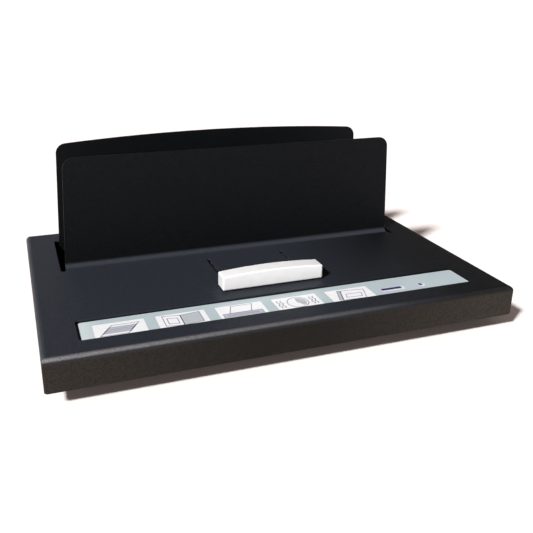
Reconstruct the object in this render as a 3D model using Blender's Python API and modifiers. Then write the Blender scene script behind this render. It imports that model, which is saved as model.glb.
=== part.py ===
"""Thermal binding machine for A4 covers.

A bent sheet-steel case stands on four feet. Two upright plates rise from it, with a heated
shelf between them. A white handle on top slides in two slots and moves the clamp jaw, which
presses the document against the back plate. The heater, its electronics and the mains
inlet are inside the case.

Metres, +Z up. The origin is on the table, under the middle of the case. +X is to the
right and +Y to the back, as seen by the person at the handle.
"""
import math

import bmesh
import bpy
from mathutils import Matrix, Vector

# Sheet metal
SHEET = 0.0015
BEND = 0.003
GAP = 0.0003
OVERRUN = 0.002
SEAM = 0.001
MERGE = 0.00001

# Case
SIDE_MARGIN = 0.0312
APRON_LIP = 0.0005
APRON_CORNER = 0.0025
CORNER_RELIEF = 0.0012

# Front plate, a flap of the cover
PLATE_MARGIN = 0.0228
PLATE_WIDTH = 0.3326
PLATE_TAPER = 0.0053
PLATE_HEIGHT = 0.1013
PLATE_CORNER = 0.010
FLAP_BEND = 0.0038
RELIEF_LENGTH = 0.0055

# Back plate and shelf
PLATE_SPACING = 0.0721
BACK_HEIGHT = 0.0989
BACK_CROWN = 0.0063
SHELF_DROP = 0.0095
SHELF_CLEARANCE = 0.0026
SHELF_LIP = 0.0065
LEG_CUTBACK = 0.0105
LEG_FOOT = 0.010
OPENING_SIDE = 0.0047
OPENING_BEHIND = 0.0009
OPENING_CORNER = 0.003

# Base pan and feet
PAN_SHEET = 0.0012
PAN_FIT = 0.0005
PAN_FLANGE = 0.016
PAN_BEND = 0.002
REAR_WALL_SETBACK = 0.005
FOOT_HEIGHT = 0.0145
FOOT_RADIUS = 0.010
FOOT_TAPER = 0.0015
FOOT_STEM = 0.0025
FOOT_STEM_LENGTH = 0.0035
FOOT_INSET = 0.024
FOOT_SETBACK = 0.048
VENT_LENGTH = 0.016
VENT_WIDTH = 0.003
VENT_HEIGHT = 0.012
VENT_PITCH = 0.009
VENT_PLACE = -0.070
REAR_RETURN = 0.008

# Label strip and indicators
LABEL_SETBACK = 0.0217
LABEL_OVERHANG = 0.0032
LABEL_DEPTH = 0.0321
LABEL_CORNER = 0.0025
LABEL_EDGE = 0.003
LABEL_FILM = 0.0005
CARRIER_SHEET = 0.0015
CARRIER_POST = 0.0025
POST_RADIUS = 0.002
STAKE_RADIUS = 0.001
STAKE_END = 0.001
LED_HEIGHT = 0.0006
BAR_LENGTH = 0.0195
BAR_WIDTH = 0.0035
BAR_INSET = 0.074
BAR_RISE = 0.0118
LAMP_RADIUS = 0.0018
LAMP_INSET = 0.045
INDICATOR_BOARD_LENGTH = 0.066
INDICATOR_BOARD_DEPTH = 0.022
BOARD_SHEET = 0.0016

# Handle, carriage and jaw
JAW_STOP = 0.0027
HANDLE_WIDTH = 0.092
HANDLE_DEPTH = 0.015
HANDLE_MARGIN = 0.0138
HANDLE_END_HEIGHT = 0.0124
HANDLE_CROWN = 0.0022
HANDLE_LIFT = 0.001
HANDLE_EDGE = 0.001
ARM_SIDE = 0.00925
ARM_DEPTH = 0.010
ARM_INSET = 0.0016
ARM_RISE = 0.009
SLOT_WIDTH = 0.003
SLOT_CLEARANCE = 0.0012
CARRIAGE_DROP = 0.0025
CARRIAGE_WING = 0.017
TONGUE_WING = 0.01225
TONGUE_DEPTH = 0.014
CARRIAGE_CORNER = 0.003
JAW_INSET = 0.0213
JAW_HEIGHT = 0.060
JAW_SHEET = 0.0012
JAW_FLANGE = 0.016
JAW_CORNER = 0.008
JAW_CLEARANCE = 0.0027
JAW_SCREW_INSET = 0.055

# Slide blocks, rods and brackets
ROD_INSET = 0.037
ROD_RADIUS = 0.0025
ROD_DROP = 0.0063
ROD_HEAD = 0.001
BLOCK_WIDTH = 0.022
BLOCK_LENGTH = 0.026
BLOCK_HEIGHT = 0.012
PEG_RADIUS = 0.0025
PEG_RISE = 0.0008
BRACKET_WIDTH = 0.014
BRACKET_SHEET = 0.0015
BRACKET_CLEARANCE = 0.001

# Heater under the shelf
HEATER_INSET = 0.0163
HEATER_SETBACK = 0.0082
HEATER_CLEARANCE = 0.0009
HEATER_PLATE = 0.003
ELEMENT_SHEET = 0.001
ELEMENT_MARGIN = 0.002
INSULATION = 0.005
RETAINER_SHEET = 0.0012
RETAINER_EAR = 0.009
HEATER_BOLT_INSET = 0.008
BOLT_RADIUS = 0.0015
BOLT_HEAD_RADIUS = 0.0028
BOLT_HEAD = 0.0014
THERMOSTAT_RADIUS = 0.0075
THERMOSTAT_PLACE = 0.060
THERMOSTAT_FLANGE_WIDTH = 0.026
THERMOSTAT_FLANGE = 0.0008
TERMINAL_WIDTH = 0.0048
TERMINAL_SHEET = 0.0006
TERMINAL_LENGTH = 0.008
FUSE_RADIUS = 0.0018
FUSE_LENGTH = 0.012
FUSE_LEAD_RADIUS = 0.0006
FUSE_LEAD = 0.010
FUSE_PLACE = -0.060

# Fasteners
SCREW_RADIUS = 0.0015
SCREW_HEAD_RADIUS = 0.0028
SCREW_HEAD = 0.0016
SCREW_TIP = 0.001
CASE_SCREW_RADIUS = 0.002
CASE_SCREW_HEAD_RADIUS = 0.0037
CASE_SCREW_LENGTH = 0.006
CASE_SCREW_DEPTH = 0.0018
CASE_SCREW_INSET = 0.045
DRIVE_RADIUS = 0.0011
DRIVE_DEPTH = 0.0007

# Control board on the right
CONTROL_BOARD_WIDTH = 0.050
CONTROL_BOARD_LENGTH = 0.096
CONTROL_BOARD_SIDE = 0.0075
CONTROL_BOARD_CLEARANCE = 0.0116
PILLAR_HEIGHT = 0.005
PILLAR_RADIUS = 0.003
PILLAR_INSET = 0.005
PILLAR_TIP_RADIUS = 0.0014
PILLAR_TIP = 0.001
TRANSFORMER_SIZE = (0.026, 0.030, 0.0145)
RELAY_SIZE = (0.015, 0.019, 0.0125)
RELAY_EDGE = 0.0006
TERMINAL_BLOCK_DEPTH = 0.0085
TERMINAL_BLOCK_HEIGHT = 0.010
SOCKET_SIZE = (0.009, 0.0055, 0.006)
BUZZER_RADIUS = 0.006
BUZZER_HEIGHT = 0.0085
BUZZER_HOLE = 0.001
PART_SPACING = 0.004
BOARD_MARGIN = 0.0105

# Mains inlet and power switch in the rear wall
INLET_SIDE = 0.025
INLET_FLANGE = (0.0306, 0.0208)
INLET_BODY = (0.0270, 0.0184)
INLET_SOCKET = (0.0240, 0.0156)
INLET_FLANGE_SHEET = 0.0016
INLET_BODY_DEPTH = 0.0175
INLET_CLEARANCE = 0.0009
INLET_SOCKET_DEPTH = 0.0165
INLET_CORNER = 0.004
INLET_EDGE = 0.001
INLET_PIN = (0.002, 0.004)
INLET_PIN_LENGTH = 0.014
INLET_PIN_SPACING = 0.014
INLET_PIN_RISE = 0.004
SWITCH_SIDE = 0.068
SWITCH_FLANGE = (0.0210, 0.0165)
SWITCH_BODY = (0.0190, 0.0140)
SWITCH_CLEARANCE = 0.0014
SWITCH_CAVITY = (0.0170, 0.0106)
SWITCH_CAVITY_DEPTH = 0.0085
ROCKER_LENGTH = 0.0152
ROCKER_WIDTH = 0.0100
ROCKER_PROUD = 0.0006
ROCKER_DISH = 0.0011
ROCKER_PIVOT_DEPTH = 0.0024
ROCKER_ROOT_RADIUS = 0.0045
ROCKER_PIN_RADIUS = 0.0010
ROCKER_PIN_LENGTH = 0.0007
ROCKER_TILT = math.radians(8)

# Start switch behind the shelf
START_CLEARANCE = 0.0005
START_BODY_WIDTH = 0.0064
START_BODY_HEIGHT = 0.0092
START_BEHIND = 0.0022
START_EAR_LENGTH = 0.0034
START_EAR_SHEET = 0.0010
START_EAR_RISE = 0.0030
LEVER_SHEET = 0.0004
LEVER_WIDTH = 0.0030
LEVER_PIN_RADIUS = 0.0006
LEVER_PIN_CLEARANCE = 0.0002
LEVER_PIN_RISE = 0.0018
LEVER_NUB = 0.0024
LEVER_NUB_SETBACK = 0.0045
LEVER_CLEARANCE = 0.0006
LEVER_SLOT_LENGTH = 0.003

# Inner leads
LEAD_RADIUS = 0.0014
CABLE_RADIUS = 0.0011
LEAD_LIFT = 0.0012
LEAD_SWING = 0.007

# Counts
ARC_STEPS = 6
TURN_STEPS = 20
SMALL_TURN_STEPS = 12
LEAD_STEPS = 4
VENTS = 8
SMOOTH_ANGLE = math.radians(35)

# Sizes and places worked out from the sizes above
PAN_FLOOR = FOOT_HEIGHT + PAN_SHEET
HEATER_STACK = BOLT_HEAD + RETAINER_SHEET + INSULATION + ELEMENT_SHEET + HEATER_PLATE + 5 * GAP
TOP = PAN_FLOOR + HEATER_CLEARANCE + HEATER_STACK + SHEET + SHELF_DROP
UNDER = TOP - SHEET
APRON_BOTTOM = FOOT_HEIGHT - APRON_LIP
BEND_OUT = BEND + SHEET

CASE_WIDTH = PLATE_WIDTH + 2 * SIDE_MARGIN
LABEL_WIDTH = PLATE_WIDTH + 2 * LABEL_OVERHANG
JAW_WIDTH = PLATE_WIDTH - 2 * JAW_INSET
HEATER_WIDTH = PLATE_WIDTH - 2 * HEATER_INSET
ROD_SPACING = JAW_WIDTH - 2 * ROD_INSET
CARRIAGE_WIDTH = ROD_SPACING + 2 * CARRIAGE_WING
ARM_SPACING = HANDLE_WIDTH - 2 * ARM_SIDE
TONGUE_WIDTH = ARM_SPACING + 2 * TONGUE_WING

CLAMP_TRAVEL = PLATE_SPACING - SHEET - JAW_CLEARANCE - JAW_SHEET - JAW_STOP
HANDLE_SETBACK = LABEL_SETBACK + LABEL_DEPTH + HANDLE_MARGIN
ARM_SETBACK = HANDLE_SETBACK + ARM_INSET
PLATE_SETBACK = ARM_SETBACK + ARM_DEPTH + CLAMP_TRAVEL + PLATE_MARGIN
REAR_MARGIN = SHEET + INLET_CLEARANCE + INLET_BODY_DEPTH + REAR_WALL_SETBACK
CASE_DEPTH = PLATE_SETBACK + PLATE_SPACING + REAR_MARGIN

SIDE = CASE_WIDTH / 2
FRONT = -CASE_DEPTH / 2
BACK = CASE_DEPTH / 2
PLATE_Y = FRONT + PLATE_SETBACK
FLAP_ROOT = PLATE_Y - FLAP_BEND
BACK_PLATE_Y = PLATE_Y + PLATE_SPACING
OPENING_HALF = PLATE_WIDTH / 2 + OPENING_SIDE
OPENING_END = BACK_PLATE_Y + SHEET + OPENING_BEHIND
PAN_SIDE = SIDE - SHEET - PAN_FIT
PAN_FRONT = FRONT + SHEET + PAN_FIT
REAR_WALL = BACK - REAR_WALL_SETBACK

ARM_FRONT = FRONT + ARM_SETBACK
ARM_BACK = ARM_FRONT + ARM_DEPTH
JAW_Y = PLATE_Y + SHEET + JAW_CLEARANCE
CARRIAGE_TOP = UNDER - CARRIAGE_DROP
CARRIAGE_UNDER = CARRIAGE_TOP - SHEET
ROD_Z = CARRIAGE_UNDER - ROD_DROP
BLOCK_FRONT = ARM_BACK
BRACKET_TOP = CARRIAGE_UNDER - 2 * GAP
BRACKET_FRONT = BLOCK_FRONT - BRACKET_CLEARANCE - BRACKET_SHEET
BRACKET_BACK = BLOCK_FRONT + BLOCK_LENGTH + CLAMP_TRAVEL + BRACKET_CLEARANCE + BRACKET_SHEET

LABEL_FRONT = FRONT + LABEL_SETBACK
LABEL_BACK = LABEL_FRONT + LABEL_DEPTH
LABEL_TOP = UNDER - GAP
CARRIER_TOP = LABEL_TOP - LABEL_FILM - GAP
CARRIER_UNDER = CARRIER_TOP - CARRIER_SHEET
INDICATOR_BOARD_TOP = CARRIER_UNDER - CARRIER_POST - GAP
BAR_PLACE_X = LABEL_WIDTH / 2 - BAR_INSET
LAMP_PLACE_X = LABEL_WIDTH / 2 - LAMP_INSET
BAR_Y = LABEL_FRONT + BAR_RISE

SHELF_TOP = TOP - SHELF_DROP
SHELF_UNDER = SHELF_TOP - SHEET
SHELF_FRONT = BRACKET_BACK + GAP + ROD_HEAD + SHELF_CLEARANCE
LEG_DEPTH = BACK_PLATE_Y - BEND - LEG_CUTBACK - SHELF_FRONT
HEATER_BACK = BACK_PLATE_Y - BEND_OUT - GAP - ELEMENT_MARGIN
HEATER_DEPTH = HEATER_BACK - HEATER_SETBACK - SHEET - SHELF_FRONT
HEATER_Y = HEATER_BACK - HEATER_DEPTH / 2
HEATER_TOP = SHELF_UNDER - GAP
ELEMENT_TOP = HEATER_TOP - HEATER_PLATE - GAP
INSULATION_TOP = ELEMENT_TOP - ELEMENT_SHEET - GAP
RETAINER_TOP = INSULATION_TOP - INSULATION - GAP

BOARD_BOTTOM = PAN_FLOOR + GAP + PILLAR_HEIGHT + GAP
BOARD_TOP = BOARD_BOTTOM + BOARD_SHEET
BOARD_RIGHT = PAN_SIDE - CONTROL_BOARD_SIDE
BOARD_LEFT = BOARD_RIGHT - CONTROL_BOARD_WIDTH
BOARD_BACK = SHELF_FRONT - CONTROL_BOARD_CLEARANCE
BOARD_FRONT = BOARD_BACK - CONTROL_BOARD_LENGTH

INLET_X = SIDE - INLET_SIDE
SWITCH_X = SIDE - SWITCH_SIDE
REAR_PARTS_Z = (PAN_FLOOR + UNDER) / 2
FLANGE_OUT = REAR_WALL + GAP + INLET_FLANGE_SHEET
SWITCH_BODY_DEPTH = REAR_WALL - BACK_PLATE_Y - SHEET - TERMINAL_LENGTH / 2 - SWITCH_CLEARANCE

START_FRONT = BACK_PLATE_Y + START_BEHIND
START_BACK = REAR_WALL - PAN_SHEET - START_CLEARANCE
START_TOP = PAN_FLOOR + GAP + START_BODY_HEIGHT
LEVER_PIVOT_Y = START_BACK - START_EAR_LENGTH / 2
LEVER_PIVOT_Z = START_TOP + LEVER_PIN_RISE
NUB_Y = BACK_PLATE_Y - LEVER_NUB_SETBACK


def clear_scene():
    for obj in list(bpy.data.objects):
        bpy.data.objects.remove(obj, do_unlink=True)


def new_collection(name):
    collection = bpy.data.collections.new(name)
    bpy.context.scene.collection.children.link(collection)
    return collection


def material(name, colour, roughness, metallic=0.0):
    """A Principled material of one colour."""
    made = bpy.data.materials.new(name)
    made.use_nodes = True
    shader = made.node_tree.nodes["Principled BSDF"]
    shader.inputs["Base Color"].default_value = (*colour, 1)
    shader.inputs["Roughness"].default_value = roughness
    shader.inputs["Metallic"].default_value = metallic
    made.diffuse_color = (*colour, 1)
    return made


def new_object(name, mesh):
    obj = bpy.data.objects.new(name, mesh)
    parts.objects.link(obj)
    return obj


def arc(centre, radius, start, end, steps=ARC_STEPS):
    """Points of an arc, both ends included, angles in degrees."""
    turn = (end - start) / steps
    angles = [math.radians(start + turn * i) for i in range(steps + 1)]
    return [(centre[0] + radius * math.cos(a), centre[1] + radius * math.sin(a)) for a in angles]


def rounded(corners):
    """A closed outline from (x, y, radius) corners, each filleted by its radius."""
    points = []
    for i, (x, y, radius) in enumerate(corners):
        here = Vector((x, y))
        before = Vector(corners[i - 1][:2]) - here
        after = Vector(corners[(i + 1) % len(corners)][:2]) - here
        if not radius:
            points.append((x, y))
            continue
        half = before.angle(after) / 2
        setback = min(radius / math.tan(half), before.length / 2, after.length / 2)
        radius = setback * math.tan(half)
        centre = here + (before.normalized() + after.normalized()).normalized() * radius / math.sin(half)
        first = here + before.normalized() * setback - centre
        last = here + after.normalized() * setback - centre
        sweep = first.angle_signed(last)
        for step in range(ARC_STEPS + 1):
            turn = Matrix.Rotation(-sweep * step / ARC_STEPS, 2)
            point = centre + turn @ first
            points.append((point.x, point.y))
    return points


def rectangle(left, right, bottom, top, radius=0.0):
    corners = ((left, bottom), (right, bottom), (right, top), (left, top))
    return rounded([(x, y, radius) for x, y in corners])


def slot_outline(x, start, end, width):
    """A slot along the outline's second axis, with round ends at start and end."""
    radius = width / 2
    return arc((x, end - radius), radius, 0, 180) + arc((x, start + radius), radius, 180, 360)


def flat(name, plane, low, high, *loops):
    """A flat piece: closed loops in a plane, from low to high on the third axis. Inner loops are holes."""
    curve = bpy.data.curves.new(name, "CURVE")
    curve.dimensions = "2D"
    curve.fill_mode = "BOTH"
    curve.extrude = (high - low) / 2
    for loop in loops:
        spline = curve.splines.new("POLY")
        spline.points.add(len(loop) - 1)
        for point, (x, y) in zip(spline.points, loop):
            point.co = (x, y, 0, 1)
        spline.use_cyclic_u = True
    guide = new_object(name + "_outline", curve)
    first, second = (Vector([float(axis == letter) for axis in "XYZ"]) for letter in plane)
    third = first.cross(second)
    guide.matrix_world = Matrix((first, second, third)).transposed().to_4x4()
    guide.location = Vector([abs(share) for share in third]) * ((low + high) / 2)
    return from_curve(name, guide)


def from_curve(name, guide):
    """The curve object as a mesh object with welded caps. The curve is removed."""
    bpy.context.view_layer.update()
    evaluated = guide.evaluated_get(bpy.context.evaluated_depsgraph_get())
    mesh = bpy.data.meshes.new_from_object(evaluated)
    mesh.name = name
    place = guide.matrix_world.copy()
    bpy.data.objects.remove(guide, do_unlink=True)
    shape = bmesh.new()
    shape.from_mesh(mesh)
    bmesh.ops.remove_doubles(shape, verts=shape.verts, dist=MERGE)
    bmesh.ops.recalc_face_normals(shape, faces=shape.faces)
    shape.to_mesh(mesh)
    shape.free()
    obj = new_object(name, mesh)
    obj.matrix_world = place
    return obj


def box(name, low, high):
    """A box between two corners."""
    low, high = Vector(low), Vector(high)
    shape = bmesh.new()
    fit = Matrix.Translation((low + high) / 2) @ Matrix.Diagonal((*(high - low), 1))
    bmesh.ops.create_cube(shape, size=1, matrix=fit)
    mesh = bpy.data.meshes.new(name)
    shape.to_mesh(mesh)
    shape.free()
    return new_object(name, mesh)


def rod(name, start, end, radius, steps=SMALL_TURN_STEPS, end_radius=None):
    """A round bar between two points, or a cone where the end's radius differs."""
    start, end = Vector(start), Vector(end)
    along = end - start
    shape = bmesh.new()
    aim = along.to_track_quat("Z", "Y").to_matrix().to_4x4()
    bmesh.ops.create_cone(
        shape,
        cap_ends=True,
        segments=steps,
        radius1=radius,
        radius2=radius if end_radius is None else end_radius,
        depth=along.length,
        matrix=Matrix.Translation((start + end) / 2) @ aim,
    )
    mesh = bpy.data.meshes.new(name)
    shape.to_mesh(mesh)
    shape.free()
    return new_object(name, mesh)


def turned(name, profile, place, steps=TURN_STEPS, up=(0, 0, 1)):
    """A turned piece: (radius, height) points from the axis at the top, down the outside, to the axis."""
    mesh = bpy.data.meshes.new(name)
    points = [(radius, 0, height) for radius, height in profile]
    mesh.from_pydata(points, [(i, i + 1) for i in range(len(points) - 1)], [])
    obj = new_object(name, mesh)
    obj.location = place
    obj.rotation_mode = "QUATERNION"
    obj.rotation_quaternion = Vector(up).to_track_quat("Z", "Y")
    spin = obj.modifiers.new("turn", "SCREW")
    spin.axis = "Z"
    spin.steps = steps
    spin.render_steps = steps
    spin.use_merge_vertices = True
    spin.merge_threshold = MERGE
    return obj


def helper(obj):
    """Takes an object out of the machine: it only cuts or joins another."""
    for collection in list(obj.users_collection):
        collection.objects.unlink(obj)
    cutters.objects.link(obj)
    obj.hide_render = True
    obj.display_type = "WIRE"
    return obj


def combine(target, other, operation):
    helper(other)
    step = target.modifiers.new(operation.lower(), "BOOLEAN")
    step.operation = operation
    step.solver = "EXACT"
    step.object = other
    return target


def cut(target, *tools):
    for tool in tools:
        combine(target, tool, "DIFFERENCE")
    return target


def join(target, *others):
    for other in others:
        combine(target, other, "UNION")
    return target


def dress(obj, finish):
    """Gives the piece its material and smooths its round faces."""
    obj.data.materials.clear()
    obj.data.materials.append(finish)
    obj.data.shade_smooth()
    obj.data.set_sharp_from_angle(angle=SMOOTH_ANGLE)
    return obj


def carry(empty, *pieces):
    """Parents pieces and the helpers of their Booleans to a joint's empty, leaving them in place."""
    bpy.context.view_layer.update()
    for piece in pieces:
        tools = [step.object for step in piece.modifiers if step.type == "BOOLEAN"]
        for obj in [piece, *tools]:
            obj.parent = empty
            obj.matrix_parent_inverse = empty.matrix_world.inverted()


def bend_ring(name, plane, low, high, centre, inner, start, end):
    """A bent stretch of sheet, with a short straight stub past each end that overlaps its neighbours."""
    outer = inner + SHEET
    first, last = math.radians(start), math.radians(end)
    turn = math.copysign(SEAM, end - start)
    back = (turn * math.sin(first), -turn * math.cos(first))
    ahead = (-turn * math.sin(last), turn * math.cos(last))
    outside = arc(centre, outer, start, end)
    inside = arc(centre, inner, end, start)
    loop = [(outside[0][0] + back[0], outside[0][1] + back[1])] + outside
    loop.append((outside[-1][0] + ahead[0], outside[-1][1] + ahead[1]))
    loop.append((inside[0][0] + ahead[0], inside[0][1] + ahead[1]))
    loop += inside
    loop.append((inside[-1][0] + back[0], inside[-1][1] + back[1]))
    return flat(name, plane, low, high, loop)


def opening_outline():
    """The document opening, with a relief notch beside each end of the flap's bend."""
    root = PLATE_WIDTH / 2 + GAP
    relief = FLAP_ROOT - RELIEF_LENGTH
    half = OPENING_HALF
    notch = (half - root) / 3
    corners = [
        (-half, relief, notch),
        (-root, relief, notch),
        (-root, FLAP_ROOT, 0),
        (root, FLAP_ROOT, 0),
        (root, relief, notch),
        (half, relief, notch),
        (half, OPENING_END, OPENING_CORNER),
        (-half, OPENING_END, OPENING_CORNER),
    ]
    return rounded(corners)


def handle_slot(side):
    """One of the two slots that the handle's arms run in."""
    start = ARM_FRONT - SLOT_CLEARANCE
    end = ARM_BACK + CLAMP_TRAVEL + SLOT_CLEARANCE
    return slot_outline(side * ARM_SPACING / 2, start, end, SLOT_WIDTH)


def plate_half(height):
    """Half the width of both upright plates at a height above the cover."""
    return PLATE_WIDTH / 2 - PLATE_TAPER * height / PLATE_HEIGHT


def case_screw_places():
    """Height and places along Y of the screws in each side flange."""
    height = FOOT_HEIGHT + PAN_FLANGE / 2
    return height, (FRONT + CASE_SCREW_INSET, BACK - CASE_SCREW_INSET)


def crown_points(half, base, rise, steps):
    """Points between the ends of a shallow arc, from right to left."""
    radius = (half * half + rise * rise) / (2 * rise)
    lean = math.degrees(math.asin(half / radius))
    points = arc((0, base + rise - radius), radius, 90 - lean, 90 + lean, steps)
    return points[1:-1]


def make_top_cover(finish):
    inner = SIDE - BEND_OUT
    bend_foot = TOP - BEND_OUT
    cover = flat(
        "top_cover",
        "XY",
        UNDER,
        TOP,
        rectangle(-inner, inner, FRONT + BEND_OUT, BACK),
        opening_outline(),
        rectangle(-LABEL_WIDTH / 2, LABEL_WIDTH / 2, LABEL_FRONT, LABEL_BACK, LABEL_CORNER),
        handle_slot(-1),
        handle_slot(1),
    )
    apron = rounded(
        [
            (-SIDE, APRON_BOTTOM, APRON_CORNER),
            (SIDE, APRON_BOTTOM, APRON_CORNER),
            (SIDE, bend_foot, 0),
            (-SIDE, bend_foot, 0),
        ]
    )
    join(
        cover,
        bend_ring("apron_bend", "YZ", -SIDE, SIDE, (FRONT + BEND_OUT, bend_foot), BEND, 90, 180),
        flat("apron", "XZ", FRONT, FRONT + SHEET, apron),
    )
    side_start = FRONT + BEND_OUT + CORNER_RELIEF
    flange = rounded(
        [
            (side_start, APRON_BOTTOM, APRON_CORNER),
            (BACK, APRON_BOTTOM, APRON_CORNER),
            (BACK, bend_foot, 0),
            (side_start, bend_foot, 0),
        ]
    )
    for side in (-1, 1):
        low, high = sorted((side * SIDE, side * (SIDE - SHEET)))
        centre = (side * inner, bend_foot)
        join(
            cover,
            bend_ring("side_bend", "XZ", side_start, BACK, centre, BEND, 90, 90 - side * 90),
            flat("side_flange", "YZ", low, high, flange),
        )
    half = PLATE_WIDTH / 2
    foot = plate_half(FLAP_BEND)
    crest = plate_half(PLATE_HEIGHT)
    flap = rounded(
        [
            (-foot, TOP + FLAP_BEND, 0),
            (foot, TOP + FLAP_BEND, 0),
            (crest, TOP + PLATE_HEIGHT, PLATE_CORNER),
            (-crest, TOP + PLATE_HEIGHT, PLATE_CORNER),
        ]
    )
    join(
        cover,
        bend_ring("flap_bend", "YZ", -half, half, (FLAP_ROOT, TOP + FLAP_BEND), FLAP_BEND, -90, 0),
        flat("flap", "XZ", PLATE_Y, PLATE_Y + SHEET, flap),
    )
    height, places = case_screw_places()
    flare = (CASE_SCREW_HEAD_RADIUS - CASE_SCREW_RADIUS) / CASE_SCREW_DEPTH
    throat = CASE_SCREW_RADIUS + GAP
    rim = throat + flare * (CASE_SCREW_DEPTH + GAP + OVERRUN)
    for side in (-1, 1):
        for y in places:
            floor = (side * (SIDE - CASE_SCREW_DEPTH - GAP), y, height)
            mouth = (side * (SIDE + OVERRUN), y, height)
            cut(cover, rod("countersink", floor, mouth, throat, SMALL_TURN_STEPS, rim))
    return dress(cover, finish)


def leg_screw_places():
    """Places of the screws in the feet of the shelf's two legs."""
    reach = PLATE_WIDTH / 2 + LEG_FOOT / 2
    first = SHELF_FRONT + LEG_DEPTH / 4
    last = SHELF_FRONT + LEG_DEPTH * 3 / 4
    return [(side * reach, y) for side in (-1, 1) for y in (first, last)]


def heater_bolt_places():
    reach = HEATER_WIDTH / 2 + RETAINER_EAR / 2
    offset = HEATER_DEPTH / 2 - HEATER_BOLT_INSET
    return [(side * reach, HEATER_Y + end * offset) for side in (-1, 1) for end in (-1, 1)]


def make_back_plate(finish):
    """The upright back plate; its foot bends forward as the shelf, which stands on two legs."""
    bend_top = SHELF_TOP + BEND
    foot = plate_half(bend_top - TOP)
    crest = plate_half(BACK_HEIGHT)
    corners = [
        (-foot, bend_top, 0),
        (foot, bend_top, 0),
        (crest, TOP + BACK_HEIGHT, PLATE_CORNER),
        *[(x, z, 0) for x, z in crown_points(crest, TOP + BACK_HEIGHT, BACK_CROWN, 2 * ARC_STEPS)],
        (-crest, TOP + BACK_HEIGHT, PLATE_CORNER),
    ]
    plate = flat("back_plate", "XZ", BACK_PLATE_Y, BACK_PLATE_Y + SHEET, rounded(corners))
    root = BACK_PLATE_Y - BEND
    leg = PLATE_WIDTH / 2
    inner = leg - BEND_OUT
    leg_end = SHELF_FRONT + LEG_DEPTH
    lip_back = SHELF_FRONT + SHEET
    join(
        plate,
        bend_ring("foot_bend", "YZ", -foot, foot, (root, bend_top), BEND, -90, 0),
        box("shelf", (-inner, SHELF_FRONT, SHELF_UNDER), (inner, root, SHELF_TOP)),
        box("lip", (-inner, SHELF_FRONT, SHELF_TOP - SHELF_LIP), (inner, lip_back, SHELF_UNDER + SEAM)),
    )
    leg_bend = SHELF_TOP - BEND_OUT
    foot_low = PAN_FLOOR + GAP
    for side in (-1, 1):
        near, far = sorted((side * leg, side * (leg - SHEET)))
        inside, outside = sorted((side * (leg - SHEET), side * (leg + LEG_FOOT)))
        centre = (side * inner, leg_bend)
        join(
            plate,
            bend_ring("leg_bend", "XZ", SHELF_FRONT, leg_end, centre, BEND, 90, 90 - side * 90),
            box("leg", (near, SHELF_FRONT, foot_low), (far, leg_end, leg_bend)),
            box("leg_foot", (inside, SHELF_FRONT, foot_low), (outside, leg_end, foot_low + SHEET)),
        )
    for x, y in leg_screw_places():
        cut(plate, rod("leg_hole", (x, y, 0), (x, y, foot_low + SHEET + OVERRUN), SCREW_RADIUS + GAP))
    for x, y in heater_bolt_places():
        low, high = (x, y, SHELF_UNDER - OVERRUN), (x, y, SHELF_TOP + OVERRUN)
        cut(plate, rod("bolt_hole", low, high, BOLT_RADIUS + GAP))
    half = LEVER_WIDTH / 2 + 2 * GAP
    low = (-half, NUB_Y - LEVER_SLOT_LENGTH / 2, SHELF_UNDER - OVERRUN)
    high = (half, NUB_Y + LEVER_SLOT_LENGTH / 2, SHELF_TOP + OVERRUN)
    cut(plate, box("nub_slot", low, high))
    return dress(plate, finish)


def foot_places():
    reach = SIDE - FOOT_INSET
    return [(side * reach, y) for y in (FRONT + FOOT_SETBACK, BACK - FOOT_INSET) for side in (-1, 1)]


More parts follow.
